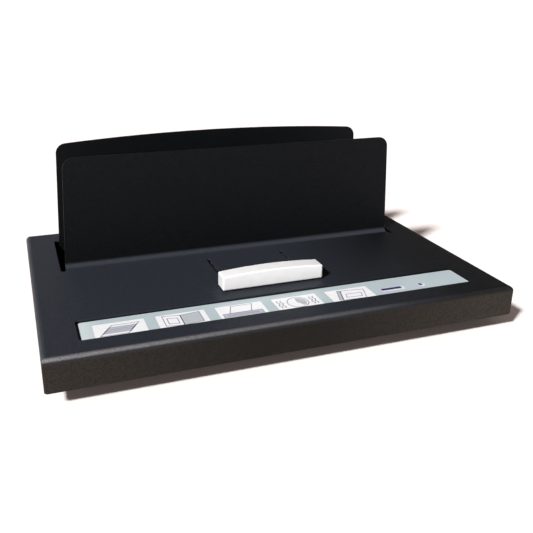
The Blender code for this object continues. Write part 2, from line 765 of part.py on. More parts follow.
def make_base_pan(finish):
    """The pan that closes the case from below. Its rear wall is full height, its other flanges are low."""
    low = Vector((-PAN_SIDE, PAN_FRONT, FOOT_HEIGHT))
    high = Vector((PAN_SIDE, REAR_WALL, UNDER - GAP))
    pan = box("base_pan", low, high)
    shell = bmesh.new()
    shell.from_mesh(pan.data)
    lid = [face for face in shell.faces if face.normal.z > abs(face.normal.x) + abs(face.normal.y)]
    bmesh.ops.delete(shell, geom=lid, context="FACES_ONLY")
    shell.to_mesh(pan.data)
    shell.free()
    edge = pan.modifiers.new("bends", "BEVEL")
    edge.width = PAN_BEND
    edge.segments = 3
    wall = pan.modifiers.new("sheet", "SOLIDIFY")
    wall.thickness = PAN_SHEET
    wall.offset = -1
    flange_top = FOOT_HEIGHT + PAN_FLANGE
    above = high.z + OVERRUN
    upper_low = (-SIDE, FRONT, flange_top)
    upper_high = (SIDE, REAR_WALL - REAR_RETURN, above)
    cut(pan, box("low_flanges", upper_low, upper_high))
    for side in (-1, 1):
        near, far = sorted((side * (SIDE - BEND_OUT - GAP), side * SIDE))
        cut(pan, box("corner_notch", (near, BACK - CASE_DEPTH / 2, TOP - BEND_OUT - GAP), (far, BACK, above)))
    for x, size in ((INLET_X, INLET_BODY), (SWITCH_X, SWITCH_BODY)):
        half_x, half_z = size[0] / 2 + GAP, size[1] / 2 + GAP
        first = (x - half_x, REAR_WALL - PAN_SHEET - OVERRUN, REAR_PARTS_Z - half_z)
        last = (x + half_x, REAR_WALL + OVERRUN, REAR_PARTS_Z + half_z)
        cut(pan, box("rear_cutout", first, last))
    vent_run = VENT_PITCH * (VENTS - 1)
    for i in range(VENTS):
        x = VENT_PLACE + VENT_PITCH * i - vent_run / 2
        rear = slot_outline(x, REAR_PARTS_Z - VENT_HEIGHT / 2, REAR_PARTS_Z + VENT_HEIGHT / 2, VENT_WIDTH)
        floor = slot_outline(x, HEATER_Y - VENT_LENGTH / 2, HEATER_Y + VENT_LENGTH / 2, VENT_WIDTH)
        cut(
            pan,
            flat("rear_vent", "XZ", REAR_WALL - PAN_SHEET - OVERRUN, REAR_WALL + OVERRUN, rear),
            flat("floor_vent", "XY", FOOT_HEIGHT - OVERRUN, PAN_FLOOR + OVERRUN, floor),
        )
    below, over = FOOT_HEIGHT - OVERRUN, PAN_FLOOR + OVERRUN
    for x, y in foot_places():
        cut(pan, rod("foot_hole", (x, y, below), (x, y, over), FOOT_STEM + GAP))
    for x, y in leg_screw_places():
        cut(pan, rod("leg_screw_hole", (x, y, below), (x, y, over), SCREW_RADIUS + GAP))
    height, places = case_screw_places()
    for y in places:
        start, end = (-SIDE, y, height), (SIDE, y, height)
        cut(pan, rod("case_screw_hole", start, end, CASE_SCREW_RADIUS + GAP))
    return dress(pan, finish)


def make_feet(finish):
    profile = [
        (0, PAN_FLOOR + FOOT_STEM_LENGTH / 2),
        (FOOT_STEM, PAN_FLOOR + FOOT_STEM_LENGTH / 2),
        (FOOT_STEM, FOOT_HEIGHT - GAP),
        (FOOT_RADIUS, FOOT_HEIGHT - GAP),
        (FOOT_RADIUS - FOOT_TAPER, 0),
        (0, 0),
    ]
    names = ("foot_front_left", "foot_front_right", "foot_back_left", "foot_back_right")
    for name, (x, y) in zip(names, foot_places()):
        dress(turned(name, profile, (x, y, 0)), finish)


def pan_head(radius, head_radius, head, length):
    """Profile of a pan-head screw: its head stands above zero and its shank hangs below."""
    return [
        (0, head - DRIVE_DEPTH),
        (DRIVE_RADIUS, head - DRIVE_DEPTH),
        (DRIVE_RADIUS, head),
        (head_radius, head),
        (head_radius, 0),
        (radius, 0),
        (radius, -length),
        (0, -length),
    ]


def make_screws(finish):
    """Countersunk screws in the case's sides, and pan-head screws in the shelf's feet."""
    profile = [
        (0, -DRIVE_DEPTH),
        (DRIVE_RADIUS, -DRIVE_DEPTH),
        (DRIVE_RADIUS, 0),
        (CASE_SCREW_HEAD_RADIUS, 0),
        (CASE_SCREW_RADIUS, -CASE_SCREW_DEPTH),
        (CASE_SCREW_RADIUS, -CASE_SCREW_LENGTH),
        (0, -CASE_SCREW_LENGTH),
    ]
    height, places = case_screw_places()
    for side, hand in ((-1, "left"), (1, "right")):
        for y, end in zip(places, ("front", "back")):
            place = (side * SIDE, y, height)
            up = (side, 0, 0)
            dress(turned(f"case_screw_{end}_{hand}", profile, place, SMALL_TURN_STEPS, up), finish)
    seat = PAN_FLOOR + GAP + SHEET + GAP
    shank = seat - FOOT_HEIGHT + SCREW_TIP
    leg_profile = pan_head(SCREW_RADIUS, SCREW_HEAD_RADIUS, SCREW_HEAD, shank)
    for i, (x, y) in enumerate(leg_screw_places()):
        dress(turned(f"shelf_screw_{i + 1}", leg_profile, (x, y, seat), SMALL_TURN_STEPS), finish)


def label_hole_outlines(margin):
    """Outlines of the bar window and of the lamp's hole, grown by a margin."""
    half_x, half_y = BAR_LENGTH / 2 + margin, BAR_WIDTH / 2 + margin
    bar = rectangle(BAR_PLACE_X - half_x, BAR_PLACE_X + half_x, BAR_Y - half_y, BAR_Y + half_y, half_y / 2)
    lamp = arc((LAMP_PLACE_X, BAR_Y), LAMP_RADIUS + margin, 0, 360, SMALL_TURN_STEPS)[:-1]
    return bar, lamp


def indicator_posts():
    """Places of the carrier's four posts, over the indicator board's corners."""
    centre = (BAR_PLACE_X + LAMP_PLACE_X) / 2
    reach = INDICATOR_BOARD_LENGTH / 2 - 2 * POST_RADIUS
    depth = INDICATOR_BOARD_DEPTH / 2 - 2 * POST_RADIUS
    return [(centre + i * reach, BAR_Y + j * depth) for i in (-1, 1) for j in (-1, 1)]


def make_label(film, carrier_finish, lens, board_finish):
    """The label film in its recess, the carrier under it, the two light windows and their board."""
    half = LABEL_WIDTH / 2 + LABEL_EDGE
    outline = rectangle(-half, half, LABEL_FRONT - LABEL_EDGE, LABEL_BACK + LABEL_EDGE, LABEL_EDGE)
    holes = label_hole_outlines(GAP)
    dress(flat("label_strip", "XY", LABEL_TOP - LABEL_FILM, LABEL_TOP, outline, *holes), film)
    carrier = flat("label_carrier", "XY", CARRIER_UNDER, CARRIER_TOP, outline, *holes)
    board_under = INDICATOR_BOARD_TOP - BOARD_SHEET
    for x, y in indicator_posts():
        shoulder = (x, y, INDICATOR_BOARD_TOP + GAP)
        join(
            carrier,
            rod("post", shoulder, (x, y, CARRIER_UNDER + SEAM), POST_RADIUS),
            rod("stake", (x, y, board_under - STAKE_END), (x, y, CARRIER_UNDER + SEAM), STAKE_RADIUS),
        )
    dress(carrier, carrier_finish)
    centre = (BAR_PLACE_X + LAMP_PLACE_X) / 2
    reach, depth = INDICATOR_BOARD_LENGTH / 2, INDICATOR_BOARD_DEPTH / 2
    low = (centre - reach, BAR_Y - depth, board_under)
    high = (centre + reach, BAR_Y + depth, INDICATOR_BOARD_TOP)
    board = box("indicator_board", low, high)
    led_low, led_high = INDICATOR_BOARD_TOP - SEAM, INDICATOR_BOARD_TOP + LED_HEIGHT
    bar, lamp = label_hole_outlines(0)
    join(board, flat("bar_led", "XY", led_low, led_high, bar))
    join(board, flat("lamp_led", "XY", led_low, led_high, lamp))
    for x, y in indicator_posts():
        low, high = (x, y, board_under - OVERRUN), (x, y, INDICATOR_BOARD_TOP + OVERRUN)
        cut(board, rod("stake_hole", low, high, STAKE_RADIUS + GAP))
    dress(board, board_finish)
    lens_low = led_high + GAP
    dress(flat("indicator_bar", "XY", lens_low, LABEL_TOP, bar), lens)
    dress(flat("status_lamp", "XY", lens_low, LABEL_TOP, lamp), lens)


def make_handle(finish):
    bottom = TOP + HANDLE_LIFT
    shoulder = bottom + HANDLE_END_HEIGHT
    half = HANDLE_WIDTH / 2
    corners = [
        (-half, bottom, HANDLE_EDGE),
        (half, bottom, HANDLE_EDGE),
        (half, shoulder, HANDLE_EDGE),
        *[(x, z, 0) for x, z in crown_points(half, shoulder, HANDLE_CROWN, 2 * ARC_STEPS)],
        (-half, shoulder, HANDLE_EDGE),
    ]
    front = FRONT + HANDLE_SETBACK
    handle = flat("handle", "XZ", front, front + HANDLE_DEPTH, rounded(corners))
    edge = handle.modifiers.new("edges", "BEVEL")
    edge.width = HANDLE_EDGE
    edge.segments = 2
    edge.limit_method = "ANGLE"
    edge.angle_limit = math.radians(60)
    for side in (-1, 1):
        x = side * ARM_SPACING / 2
        fit = SHEET / 2 + GAP
        low = (x - fit, ARM_FRONT - GAP, bottom - OVERRUN)
        high = (x + fit, ARM_BACK + GAP, TOP + ARM_RISE + GAP)
        cut(handle, box("arm_pocket", low, high))
    return dress(handle, finish)


def jaw_screw_places():
    y = JAW_Y - JAW_FLANGE / 2
    reach = JAW_WIDTH / 2 - JAW_SCREW_INSET
    return [(x, y) for x in (-reach, 0, reach)]


def make_carriage(finish):
    """The sliding plate under the cover. Its two arms come up through the slots."""
    wide, narrow = CARRIAGE_WIDTH / 2, TONGUE_WIDTH / 2
    front, step, back = ARM_FRONT - TONGUE_DEPTH / 4, ARM_BACK + ARM_DEPTH / 2, JAW_Y + JAW_SHEET
    ear = CARRIAGE_CORNER
    corners = [
        (-narrow, front, ear),
        (narrow, front, ear),
        (narrow, step - ear, ear),
        (wide, step, ear),
        (wide, back, 0),
        (-wide, back, 0),
        (-wide, step, ear),
        (-narrow, step - ear, ear),
    ]
    plate = flat("carriage_plate", "XY", CARRIAGE_UNDER, CARRIAGE_TOP, rounded(corners))
    for side in (-1, 1):
        x = side * ARM_SPACING / 2
        low = (x - SHEET / 2, ARM_FRONT, CARRIAGE_UNDER + SHEET / 2)
        high = (x + SHEET / 2, ARM_BACK, TOP + ARM_RISE)
        join(plate, box("arm", low, high))
        x = side * ROD_SPACING / 2
        y = BLOCK_FRONT + BLOCK_LENGTH / 2
        low, high = (x, y, CARRIAGE_UNDER - OVERRUN), (x, y, CARRIAGE_TOP + OVERRUN)
        cut(plate, rod("peg_hole", low, high, PEG_RADIUS + GAP))
    for x, y in jaw_screw_places():
        low, high = (x, y, CARRIAGE_UNDER - OVERRUN), (x, y, CARRIAGE_TOP + OVERRUN)
        cut(plate, rod("jaw_screw_hole", low, high, SCREW_RADIUS + GAP))
    return dress(plate, finish)


def make_jaw(finish):
    """An angle: its flange lies on the carriage and its blade stands behind the front plate."""
    half = JAW_WIDTH / 2
    flange_low = CARRIAGE_TOP + GAP
    flange_high = flange_low + JAW_SHEET
    blade = rounded(
        [
            (-half, flange_low, 0),
            (half, flange_low, 0),
            (half, TOP + JAW_HEIGHT, JAW_CORNER),
            (-half, TOP + JAW_HEIGHT, JAW_CORNER),
        ]
    )
    jaw = flat("clamp_jaw", "XZ", JAW_Y, JAW_Y + JAW_SHEET, blade)
    low, high = (-half, JAW_Y - JAW_FLANGE, flange_low), (half, JAW_Y + JAW_SHEET / 2, flange_high)
    join(jaw, box("jaw_flange", low, high))
    for x, y in jaw_screw_places():
        low, high = (x, y, flange_low - OVERRUN), (x, y, flange_high + OVERRUN)
        cut(jaw, rod("jaw_hole", low, high, SCREW_RADIUS + GAP))
    return dress(jaw, finish)


def make_jaw_screws(finish):
    seat = CARRIAGE_UNDER - GAP
    shank = CARRIAGE_TOP + GAP + JAW_SHEET - seat
    profile = pan_head(SCREW_RADIUS, SCREW_HEAD_RADIUS, SCREW_HEAD, shank)
    screws = []
    for i, (x, y) in enumerate(jaw_screw_places()):
        screw = turned(f"jaw_screw_{i + 1}", profile, (x, y, seat), SMALL_TURN_STEPS, (0, 0, -1))
        screws.append(dress(screw, finish))
    return screws


def make_slide_block(side, hand, finish):
    x = side * ROD_SPACING / 2
    top = CARRIAGE_UNDER - GAP
    low = (x - BLOCK_WIDTH / 2, BLOCK_FRONT, top - BLOCK_HEIGHT)
    high = (x + BLOCK_WIDTH / 2, BLOCK_FRONT + BLOCK_LENGTH, top)
    block = box(f"slide_block_{hand}", low, high)
    y = BLOCK_FRONT + BLOCK_LENGTH / 2
    join(block, rod("peg", (x, y, top - SEAM), (x, y, CARRIAGE_TOP + PEG_RISE), PEG_RADIUS))
    start, end = (x, BLOCK_FRONT - OVERRUN, ROD_Z), (x, BLOCK_FRONT + BLOCK_LENGTH + OVERRUN, ROD_Z)
    cut(block, rod("bore", start, end, ROD_RADIUS + GAP, TURN_STEPS))
    return dress(block, finish)


def make_rod_bracket(side, hand, finish):
    """A U-shaped bracket on the pan. Its uprights hold the rod's ends."""
    front, back = BRACKET_FRONT, BRACKET_BACK
    low = PAN_FLOOR + GAP
    floor = low + BRACKET_SHEET
    outline = [
        (front, low),
        (back, low),
        (back, BRACKET_TOP),
        (back - BRACKET_SHEET, BRACKET_TOP),
        (back - BRACKET_SHEET, floor),
        (front + BRACKET_SHEET, floor),
        (front + BRACKET_SHEET, BRACKET_TOP),
        (front, BRACKET_TOP),
    ]
    x = side * ROD_SPACING / 2
    half = BRACKET_WIDTH / 2
    bracket = flat(f"rod_bracket_{hand}", "YZ", x - half, x + half, outline)
    start, end = (x, front - OVERRUN, ROD_Z), (x, back + OVERRUN, ROD_Z)
    cut(bracket, rod("rod_hole", start, end, ROD_RADIUS + GAP, TURN_STEPS))
    return dress(bracket, finish)


def make_guide_rod(side, hand, finish):
    """A ground rod with a riveted head outside each upright."""
    front, back = BRACKET_FRONT, BRACKET_BACK
    half = (back - front) / 2 + GAP
    head = ROD_RADIUS + ROD_HEAD
    profile = [
        (0, half + ROD_HEAD),
        (head, half + ROD_HEAD),
        (head, half),
        (ROD_RADIUS, half),
        (ROD_RADIUS, -half),
        (head, -half),
        (head, -half - ROD_HEAD),
        (0, -half - ROD_HEAD),
    ]
    place = (side * ROD_SPACING / 2, (front + back) / 2, ROD_Z)
    return dress(turned(f"guide_rod_{hand}", profile, place, TURN_STEPS, (0, 1, 0)), finish)


def slab(name, half_x, depth, top, thickness):
    """A flat layer of the heater, centred on the heater."""
    low = (-half_x, HEATER_Y - depth / 2, top - thickness)
    return box(name, low, (half_x, HEATER_Y + depth / 2, top))


def thermostat_window(top):
    low = (THERMOSTAT_PLACE, HEATER_Y, RETAINER_TOP - RETAINER_SHEET - OVERRUN)
    high = (THERMOSTAT_PLACE, HEATER_Y, top + OVERRUN)
    return rod("window", low, high, THERMOSTAT_RADIUS + 2 * GAP, TURN_STEPS)


def make_heater(plate_finish, element_finish, insulation_finish, retainer_finish, bolt_finish):
    """Layers bolted up under the shelf: aluminium plate, heating element, insulation and retainer."""
    half = HEATER_WIDTH / 2
    dress(slab("heater_plate", half, HEATER_DEPTH, HEATER_TOP, HEATER_PLATE), plate_finish)
    element_half = half - ELEMENT_MARGIN
    element_depth = HEATER_DEPTH - 2 * ELEMENT_MARGIN
    element = slab("heating_element", element_half, element_depth, ELEMENT_TOP, ELEMENT_SHEET)
    dress(cut(element, thermostat_window(ELEMENT_TOP)), element_finish)
    insulation = slab("insulation_board", half, HEATER_DEPTH, INSULATION_TOP, INSULATION)
    reach = FUSE_LENGTH / 2 + FUSE_LEAD + GAP
    room = FUSE_RADIUS + GAP
    groove_low = (FUSE_PLACE - reach, HEATER_Y - room, INSULATION_TOP - 2 * FUSE_RADIUS - GAP)
    groove_high = (FUSE_PLACE + reach, HEATER_Y + room, INSULATION_TOP + OVERRUN)
    cut(insulation, thermostat_window(INSULATION_TOP), box("fuse_groove", groove_low, groove_high))
    dress(insulation, insulation_finish)
    retainer = slab("heater_retainer", half + RETAINER_EAR, HEATER_DEPTH, RETAINER_TOP, RETAINER_SHEET)
    cut(retainer, thermostat_window(RETAINER_TOP))
    seat = RETAINER_TOP - RETAINER_SHEET - GAP
    profile = pan_head(BOLT_RADIUS, BOLT_HEAD_RADIUS, BOLT_HEAD, SHELF_TOP - GAP - seat)
    for i, (x, y) in enumerate(heater_bolt_places()):
        low, high = (x, y, seat - OVERRUN), (x, y, RETAINER_TOP + OVERRUN)
        cut(retainer, rod("bolt_hole", low, high, BOLT_RADIUS + GAP))
        bolt = turned(f"heater_bolt_{i + 1}", profile, (x, y, seat), SMALL_TURN_STEPS, (0, 0, -1))
        dress(bolt, bolt_finish)
    dress(retainer, retainer_finish)


def make_thermostat(finish):
    """A disc thermostat pressed to the heater plate through a window, with a fixing flange and two tabs."""
    x = THERMOSTAT_PLACE
    top = HEATER_TOP - HEATER_PLATE - GAP
    flange_top = RETAINER_TOP - RETAINER_SHEET - GAP
    flange_low = flange_top - THERMOSTAT_FLANGE
    body = rod("thermostat", (x, HEATER_Y, flange_low), (x, HEATER_Y, top), THERMOSTAT_RADIUS, TURN_STEPS)
    half_x, half_y = THERMOSTAT_FLANGE_WIDTH / 2, THERMOSTAT_RADIUS + THERMOSTAT_FLANGE
    low = (x - half_x, HEATER_Y - half_y, flange_low)
    join(body, box("flange", low, (x + half_x, HEATER_Y + half_y, flange_top)))
    for side in (-1, 1):
        near, far = sorted((side * THERMOSTAT_RADIUS / 2, side * (half_y + TERMINAL_LENGTH)))
        tab_low = (x - TERMINAL_WIDTH / 2, HEATER_Y + near, flange_low - TERMINAL_SHEET / 2)
        tab_high = (x + TERMINAL_WIDTH / 2, HEATER_Y + far, flange_low + TERMINAL_SHEET / 2)
        join(body, box("tab", tab_low, tab_high))
    return dress(body, finish)


def make_thermal_fuse(finish):
    z = INSULATION_TOP - FUSE_RADIUS
    half = FUSE_LENGTH / 2
    reach = half + FUSE_LEAD
    start, end = (FUSE_PLACE - half, HEATER_Y, z), (FUSE_PLACE + half, HEATER_Y, z)
    fuse = rod("thermal_fuse", start, end, FUSE_RADIUS)
    wire = rod("wire", (FUSE_PLACE - reach, HEATER_Y, z), (FUSE_PLACE + reach, HEATER_Y, z), FUSE_LEAD_RADIUS)
    return dress(join(fuse, wire), finish)


def pillar_places():
    left, right = BOARD_LEFT + PILLAR_INSET, BOARD_RIGHT - PILLAR_INSET
    front, back = BOARD_FRONT + PILLAR_INSET, BOARD_BACK - PILLAR_INSET
    return [(x, y) for y in (front, back) for x in (left, right)]


def block_on_board(name, left, front, size):
    """A part on the control board, from its left front corner."""
    low = (left, front, BOARD_TOP + GAP)
    return box(name, low, (left + size[0], front + size[1], low[2] + size[2]))


def make_control_board(board_finish, core_finish, relay_finish, buzzer_finish, pillar_finish):
    low, high = (BOARD_LEFT, BOARD_FRONT, BOARD_BOTTOM), (BOARD_RIGHT, BOARD_BACK, BOARD_TOP)
    board = box("control_board", low, high)
    base = BOARD_TOP - SEAM
    terminal_back = BOARD_BACK - BOARD_MARGIN / 2
    terminal_front = terminal_back - TERMINAL_BLOCK_DEPTH
    low = (BOARD_LEFT + BOARD_MARGIN, terminal_front, base)
    high = (BOARD_RIGHT - BOARD_MARGIN, terminal_back, BOARD_TOP + TERMINAL_BLOCK_HEIGHT)
    join(board, box("terminal_block", low, high))
    socket_left, socket_front = BOARD_LEFT + BOARD_MARGIN, BOARD_FRONT + GAP
    low = (socket_left, socket_front, base)
    high = (socket_left + SOCKET_SIZE[0], socket_front + SOCKET_SIZE[1], BOARD_TOP + SOCKET_SIZE[2])
    join(board, box("cable_socket", low, high))
    pillar_low = PAN_FLOOR + GAP
    profile = [
        (0, BOARD_TOP + PILLAR_TIP),
        (PILLAR_TIP_RADIUS, BOARD_TOP + PILLAR_TIP),
        (PILLAR_TIP_RADIUS, BOARD_BOTTOM - GAP),
        (PILLAR_RADIUS, BOARD_BOTTOM - GAP),
        (PILLAR_RADIUS, pillar_low),
        (0, pillar_low),
    ]
    for i, (x, y) in enumerate(pillar_places()):
        low, high = (x, y, BOARD_BOTTOM - OVERRUN), (x, y, BOARD_TOP + OVERRUN)
        cut(board, rod("pillar_hole", low, high, PILLAR_TIP_RADIUS + GAP))
        dress(turned(f"board_pillar_{i + 1}", profile, (x, y, 0), SMALL_TURN_STEPS), pillar_finish)
    dress(board, board_finish)
    left = BOARD_LEFT + BOARD_MARGIN
    transformer_front = terminal_front - PART_SPACING - TRANSFORMER_SIZE[1]
    core = block_on_board("transformer", left, transformer_front, TRANSFORMER_SIZE)
    side_cut = TRANSFORMER_SIZE[0] / 6
    for x in (left, left + TRANSFORMER_SIZE[0]):
        for y in (transformer_front, transformer_front + TRANSFORMER_SIZE[1]):
            low = (x - side_cut, y - side_cut, BOARD_TOP - OVERRUN)
            high = (x + side_cut, y + side_cut, BOARD_TOP + TRANSFORMER_SIZE[2] + OVERRUN)
            cut(core, box("core_step", low, high))
    dress(core, core_finish)
    relay_front = transformer_front - PART_SPACING - RELAY_SIZE[1]
    relay = block_on_board("relay", left, relay_front, RELAY_SIZE)
    edge = relay.modifiers.new("edges", "BEVEL")
    edge.width = RELAY_EDGE
    edge.segments = 1
    dress(relay, relay_finish)
    x = left + RELAY_SIZE[0] + PART_SPACING + BUZZER_RADIUS
    y = relay_front + RELAY_SIZE[1] / 2
    bottom = BOARD_TOP + GAP
    top = bottom + BUZZER_HEIGHT
    profile = [
        (0, top - BUZZER_HOLE),
        (BUZZER_HOLE, top - BUZZER_HOLE),
        (BUZZER_HOLE, top),
        (BUZZER_RADIUS, top),
        (BUZZER_RADIUS, bottom),
        (0, bottom),
    ]
    dress(turned("buzzer", profile, (x, y, 0)), buzzer_finish)


def make_mains_inlet(finish):
    """An appliance inlet clipped into the rear wall, with three pins in its socket."""
    back = REAR_WALL - INLET_BODY_DEPTH
    half_x, half_z = INLET_BODY[0] / 2, INLET_BODY[1] / 2
    low = (INLET_X - half_x, back, REAR_PARTS_Z - half_z)
    inlet = box("mains_inlet", low, (INLET_X + half_x, FLANGE_OUT, REAR_PARTS_Z + half_z))
    flange_x, flange_z = INLET_FLANGE[0] / 2, INLET_FLANGE[1] / 2
    rim = rectangle(
        INLET_X - flange_x, INLET_X + flange_x, REAR_PARTS_Z - flange_z, REAR_PARTS_Z + flange_z, INLET_EDGE
    )
    join(inlet, flat("flange", "XZ", REAR_WALL + GAP, FLANGE_OUT, rim))
    socket_x, socket_z = INLET_SOCKET[0] / 2, INLET_SOCKET[1] / 2
    left, right = INLET_X - socket_x, INLET_X + socket_x
    bottom, top = REAR_PARTS_Z - socket_z, REAR_PARTS_Z + socket_z
    mouth = [
        (left, bottom),
        (right, bottom),
        (right, top - INLET_CORNER),
        (right - INLET_CORNER, top),
        (left + INLET_CORNER, top),
        (left, top - INLET_CORNER),
    ]
    floor = FLANGE_OUT - INLET_SOCKET_DEPTH
    cut(inlet, flat("socket", "XZ", floor, FLANGE_OUT + OVERRUN, mouth))
    pin_places = [(0, INLET_PIN_RISE / 2), (-INLET_PIN_SPACING / 2, -INLET_PIN_RISE / 2)]
    pin_places.append((INLET_PIN_SPACING / 2, -INLET_PIN_RISE / 2))
    for x, z in pin_places:
        centre_x, centre_z = INLET_X + x, REAR_PARTS_Z + z
        half_x, half_z = INLET_PIN[0] / 2, INLET_PIN[1] / 2
        low = (centre_x - half_x, floor - SEAM, centre_z - half_z)
        high = (centre_x + half_x, floor + INLET_PIN_LENGTH, centre_z + half_z)
        tab_low = (centre_x - TERMINAL_SHEET / 2, back - TERMINAL_LENGTH, centre_z - TERMINAL_WIDTH / 2)
        tab_high = (centre_x + TERMINAL_SHEET / 2, back + SEAM, centre_z + TERMINAL_WIDTH / 2)
        join(inlet, box("pin", low, high), box("tab", tab_low, tab_high))
    return dress(inlet, finish)


def make_power_switch(body_finish, rocker_finish):
    """A rocker switch clipped into the rear wall. The rocker turns on two stub pins."""
    back = REAR_WALL - SWITCH_BODY_DEPTH
    half_x, half_z = SWITCH_BODY[0] / 2, SWITCH_BODY[1] / 2
    low = (SWITCH_X - half_x, back, REAR_PARTS_Z - half_z)
    body = box("power_switch", low, (SWITCH_X + half_x, FLANGE_OUT, REAR_PARTS_Z + half_z))
    flange_x, flange_z = SWITCH_FLANGE[0] / 2, SWITCH_FLANGE[1] / 2
    rim = rectangle(
        SWITCH_X - flange_x, SWITCH_X + flange_x, REAR_PARTS_Z - flange_z, REAR_PARTS_Z + flange_z, INLET_EDGE
    )
    join(body, flat("flange", "XZ", REAR_WALL + GAP, FLANGE_OUT, rim))
    for side in (-1, 1):
        x = SWITCH_X + side * SWITCH_BODY[0] / 4
        low = (x - TERMINAL_SHEET / 2, back - TERMINAL_LENGTH / 2, REAR_PARTS_Z - TERMINAL_WIDTH / 2)
        join(body, box("tab", low, (x + TERMINAL_SHEET / 2, back + SEAM, REAR_PARTS_Z + TERMINAL_WIDTH / 2)))
    cavity_x, cavity_z = SWITCH_CAVITY[0] / 2, SWITCH_CAVITY[1] / 2
    low = (SWITCH_X - cavity_x, FLANGE_OUT - SWITCH_CAVITY_DEPTH, REAR_PARTS_Z - cavity_z)
    high = (SWITCH_X + cavity_x, FLANGE_OUT + OVERRUN, REAR_PARTS_Z + cavity_z)
    pivot = Vector((SWITCH_X, FLANGE_OUT - ROCKER_PIVOT_DEPTH, REAR_PARTS_Z))
    reach = Vector((0, 0, ROCKER_WIDTH / 2 + ROCKER_PIN_LENGTH))
    slack = Vector((0, 0, GAP))
    seat = rod("pin_seat", pivot - reach - slack, pivot + reach + slack, ROCKER_PIN_RADIUS + GAP)
    dress(cut(body, box("cavity", low, high), seat), body_finish)
    half = ROCKER_LENGTH / 2
    crest = ROCKER_PIVOT_DEPTH + ROCKER_PROUD
    root = arc((0, 0), ROCKER_ROOT_RADIUS, 200, 340)
    outline = [(half, ROCKER_PIVOT_DEPTH / 2), (half, crest + ROCKER_DISH), (0, crest)]
    outline += [(-half, crest + ROCKER_DISH), (-half, ROCKER_PIVOT_DEPTH / 2), *root]
    rocker = flat("power_rocker", "XY", -ROCKER_WIDTH / 2, ROCKER_WIDTH / 2, outline)
    rocker.location = pivot
    rocker.rotation_euler.z = ROCKER_TILT
    join(rocker, rod("pins", pivot - reach, pivot + reach, ROCKER_PIN_RADIUS))
    dress(rocker, rocker_finish)


def make_start_switch(body_finish, lever_finish):
    """The switch that feels the document: its lever's nub comes up through a slot in the shelf."""
    half = START_BODY_WIDTH / 2
    body = box("start_switch", (-half, START_FRONT, PAN_FLOOR + GAP), (half, START_BACK, START_TOP))
    pivot = Vector((0, LEVER_PIVOT_Y, LEVER_PIVOT_Z))
    ear_top = START_TOP + START_EAR_RISE
    for side in (-1, 1):
        near, far = sorted((side * half, side * (half - START_EAR_SHEET)))
        low = (near, START_BACK - START_EAR_LENGTH, START_TOP - SEAM)
        join(body, box("ear", low, (far, START_BACK, ear_top)))
    across = Vector((half, 0, 0))
    over = Vector((OVERRUN, 0, 0))
    seat_radius = LEVER_PIN_RADIUS + LEVER_PIN_CLEARANCE
    seat = rod("pin_seat", pivot - across - over, pivot + across + over, seat_radius)
    dress(cut(body, seat), body_finish)
    thick = LEVER_SHEET / 2
    nub = NUB_Y - LEVER_PIVOT_Y
    knee = SHELF_UNDER - LEVER_CLEARANCE - LEVER_SHEET - LEVER_PIVOT_Z
    tip = SHELF_TOP + LEVER_NUB - LEVER_PIVOT_Z
    outline = [(0, -thick), (0, thick), (nub + thick, knee + thick), (nub + thick, tip)]
    outline += [(nub - thick, tip), (nub - thick, knee - thick)]
    lever = flat("start_lever", "YZ", -LEVER_WIDTH / 2, LEVER_WIDTH / 2, outline)
    lever.location = pivot
    join(lever, rod("pin", pivot - across, pivot + across, LEVER_PIN_RADIUS))
    dress(lever, lever_finish)


def smooth_route(points, per_span):
    """Points on a smooth curve through the route's own points."""
    route = [Vector(p) for p in points]
    route = [2 * route[0] - route[1], *route, 2 * route[-1] - route[-2]]
    found = []
    for before, start, end, after in zip(route, route[1:], route[2:], route[3:]):
        for step in range(per_span):
            t = step / per_span
            bend = 2 * before - 5 * start + 4 * end - after
            twist = 3 * start - before - 3 * end + after
            found.append(start + ((end - before) * t + bend * t * t + twist * t * t * t) / 2)
    found.append(route[-2])
    return found


def lead(name, points, radius, finish):
    """An inner lead: a round tube on a smooth route."""
    curve = bpy.data.curves.new(name, "CURVE")
    curve.dimensions = "3D"
    curve.bevel_depth = radius
    curve.bevel_resolution = 2
    curve.use_fill_caps = True
    route = smooth_route(points, LEAD_STEPS)
    spline = curve.splines.new("POLY")
    spline.points.add(len(route) - 1)
    for point, place in zip(spline.points, route):
        point.co = (*place, 1)
    return dress(from_curve(name, new_object(name + "_route", curve)), finish)


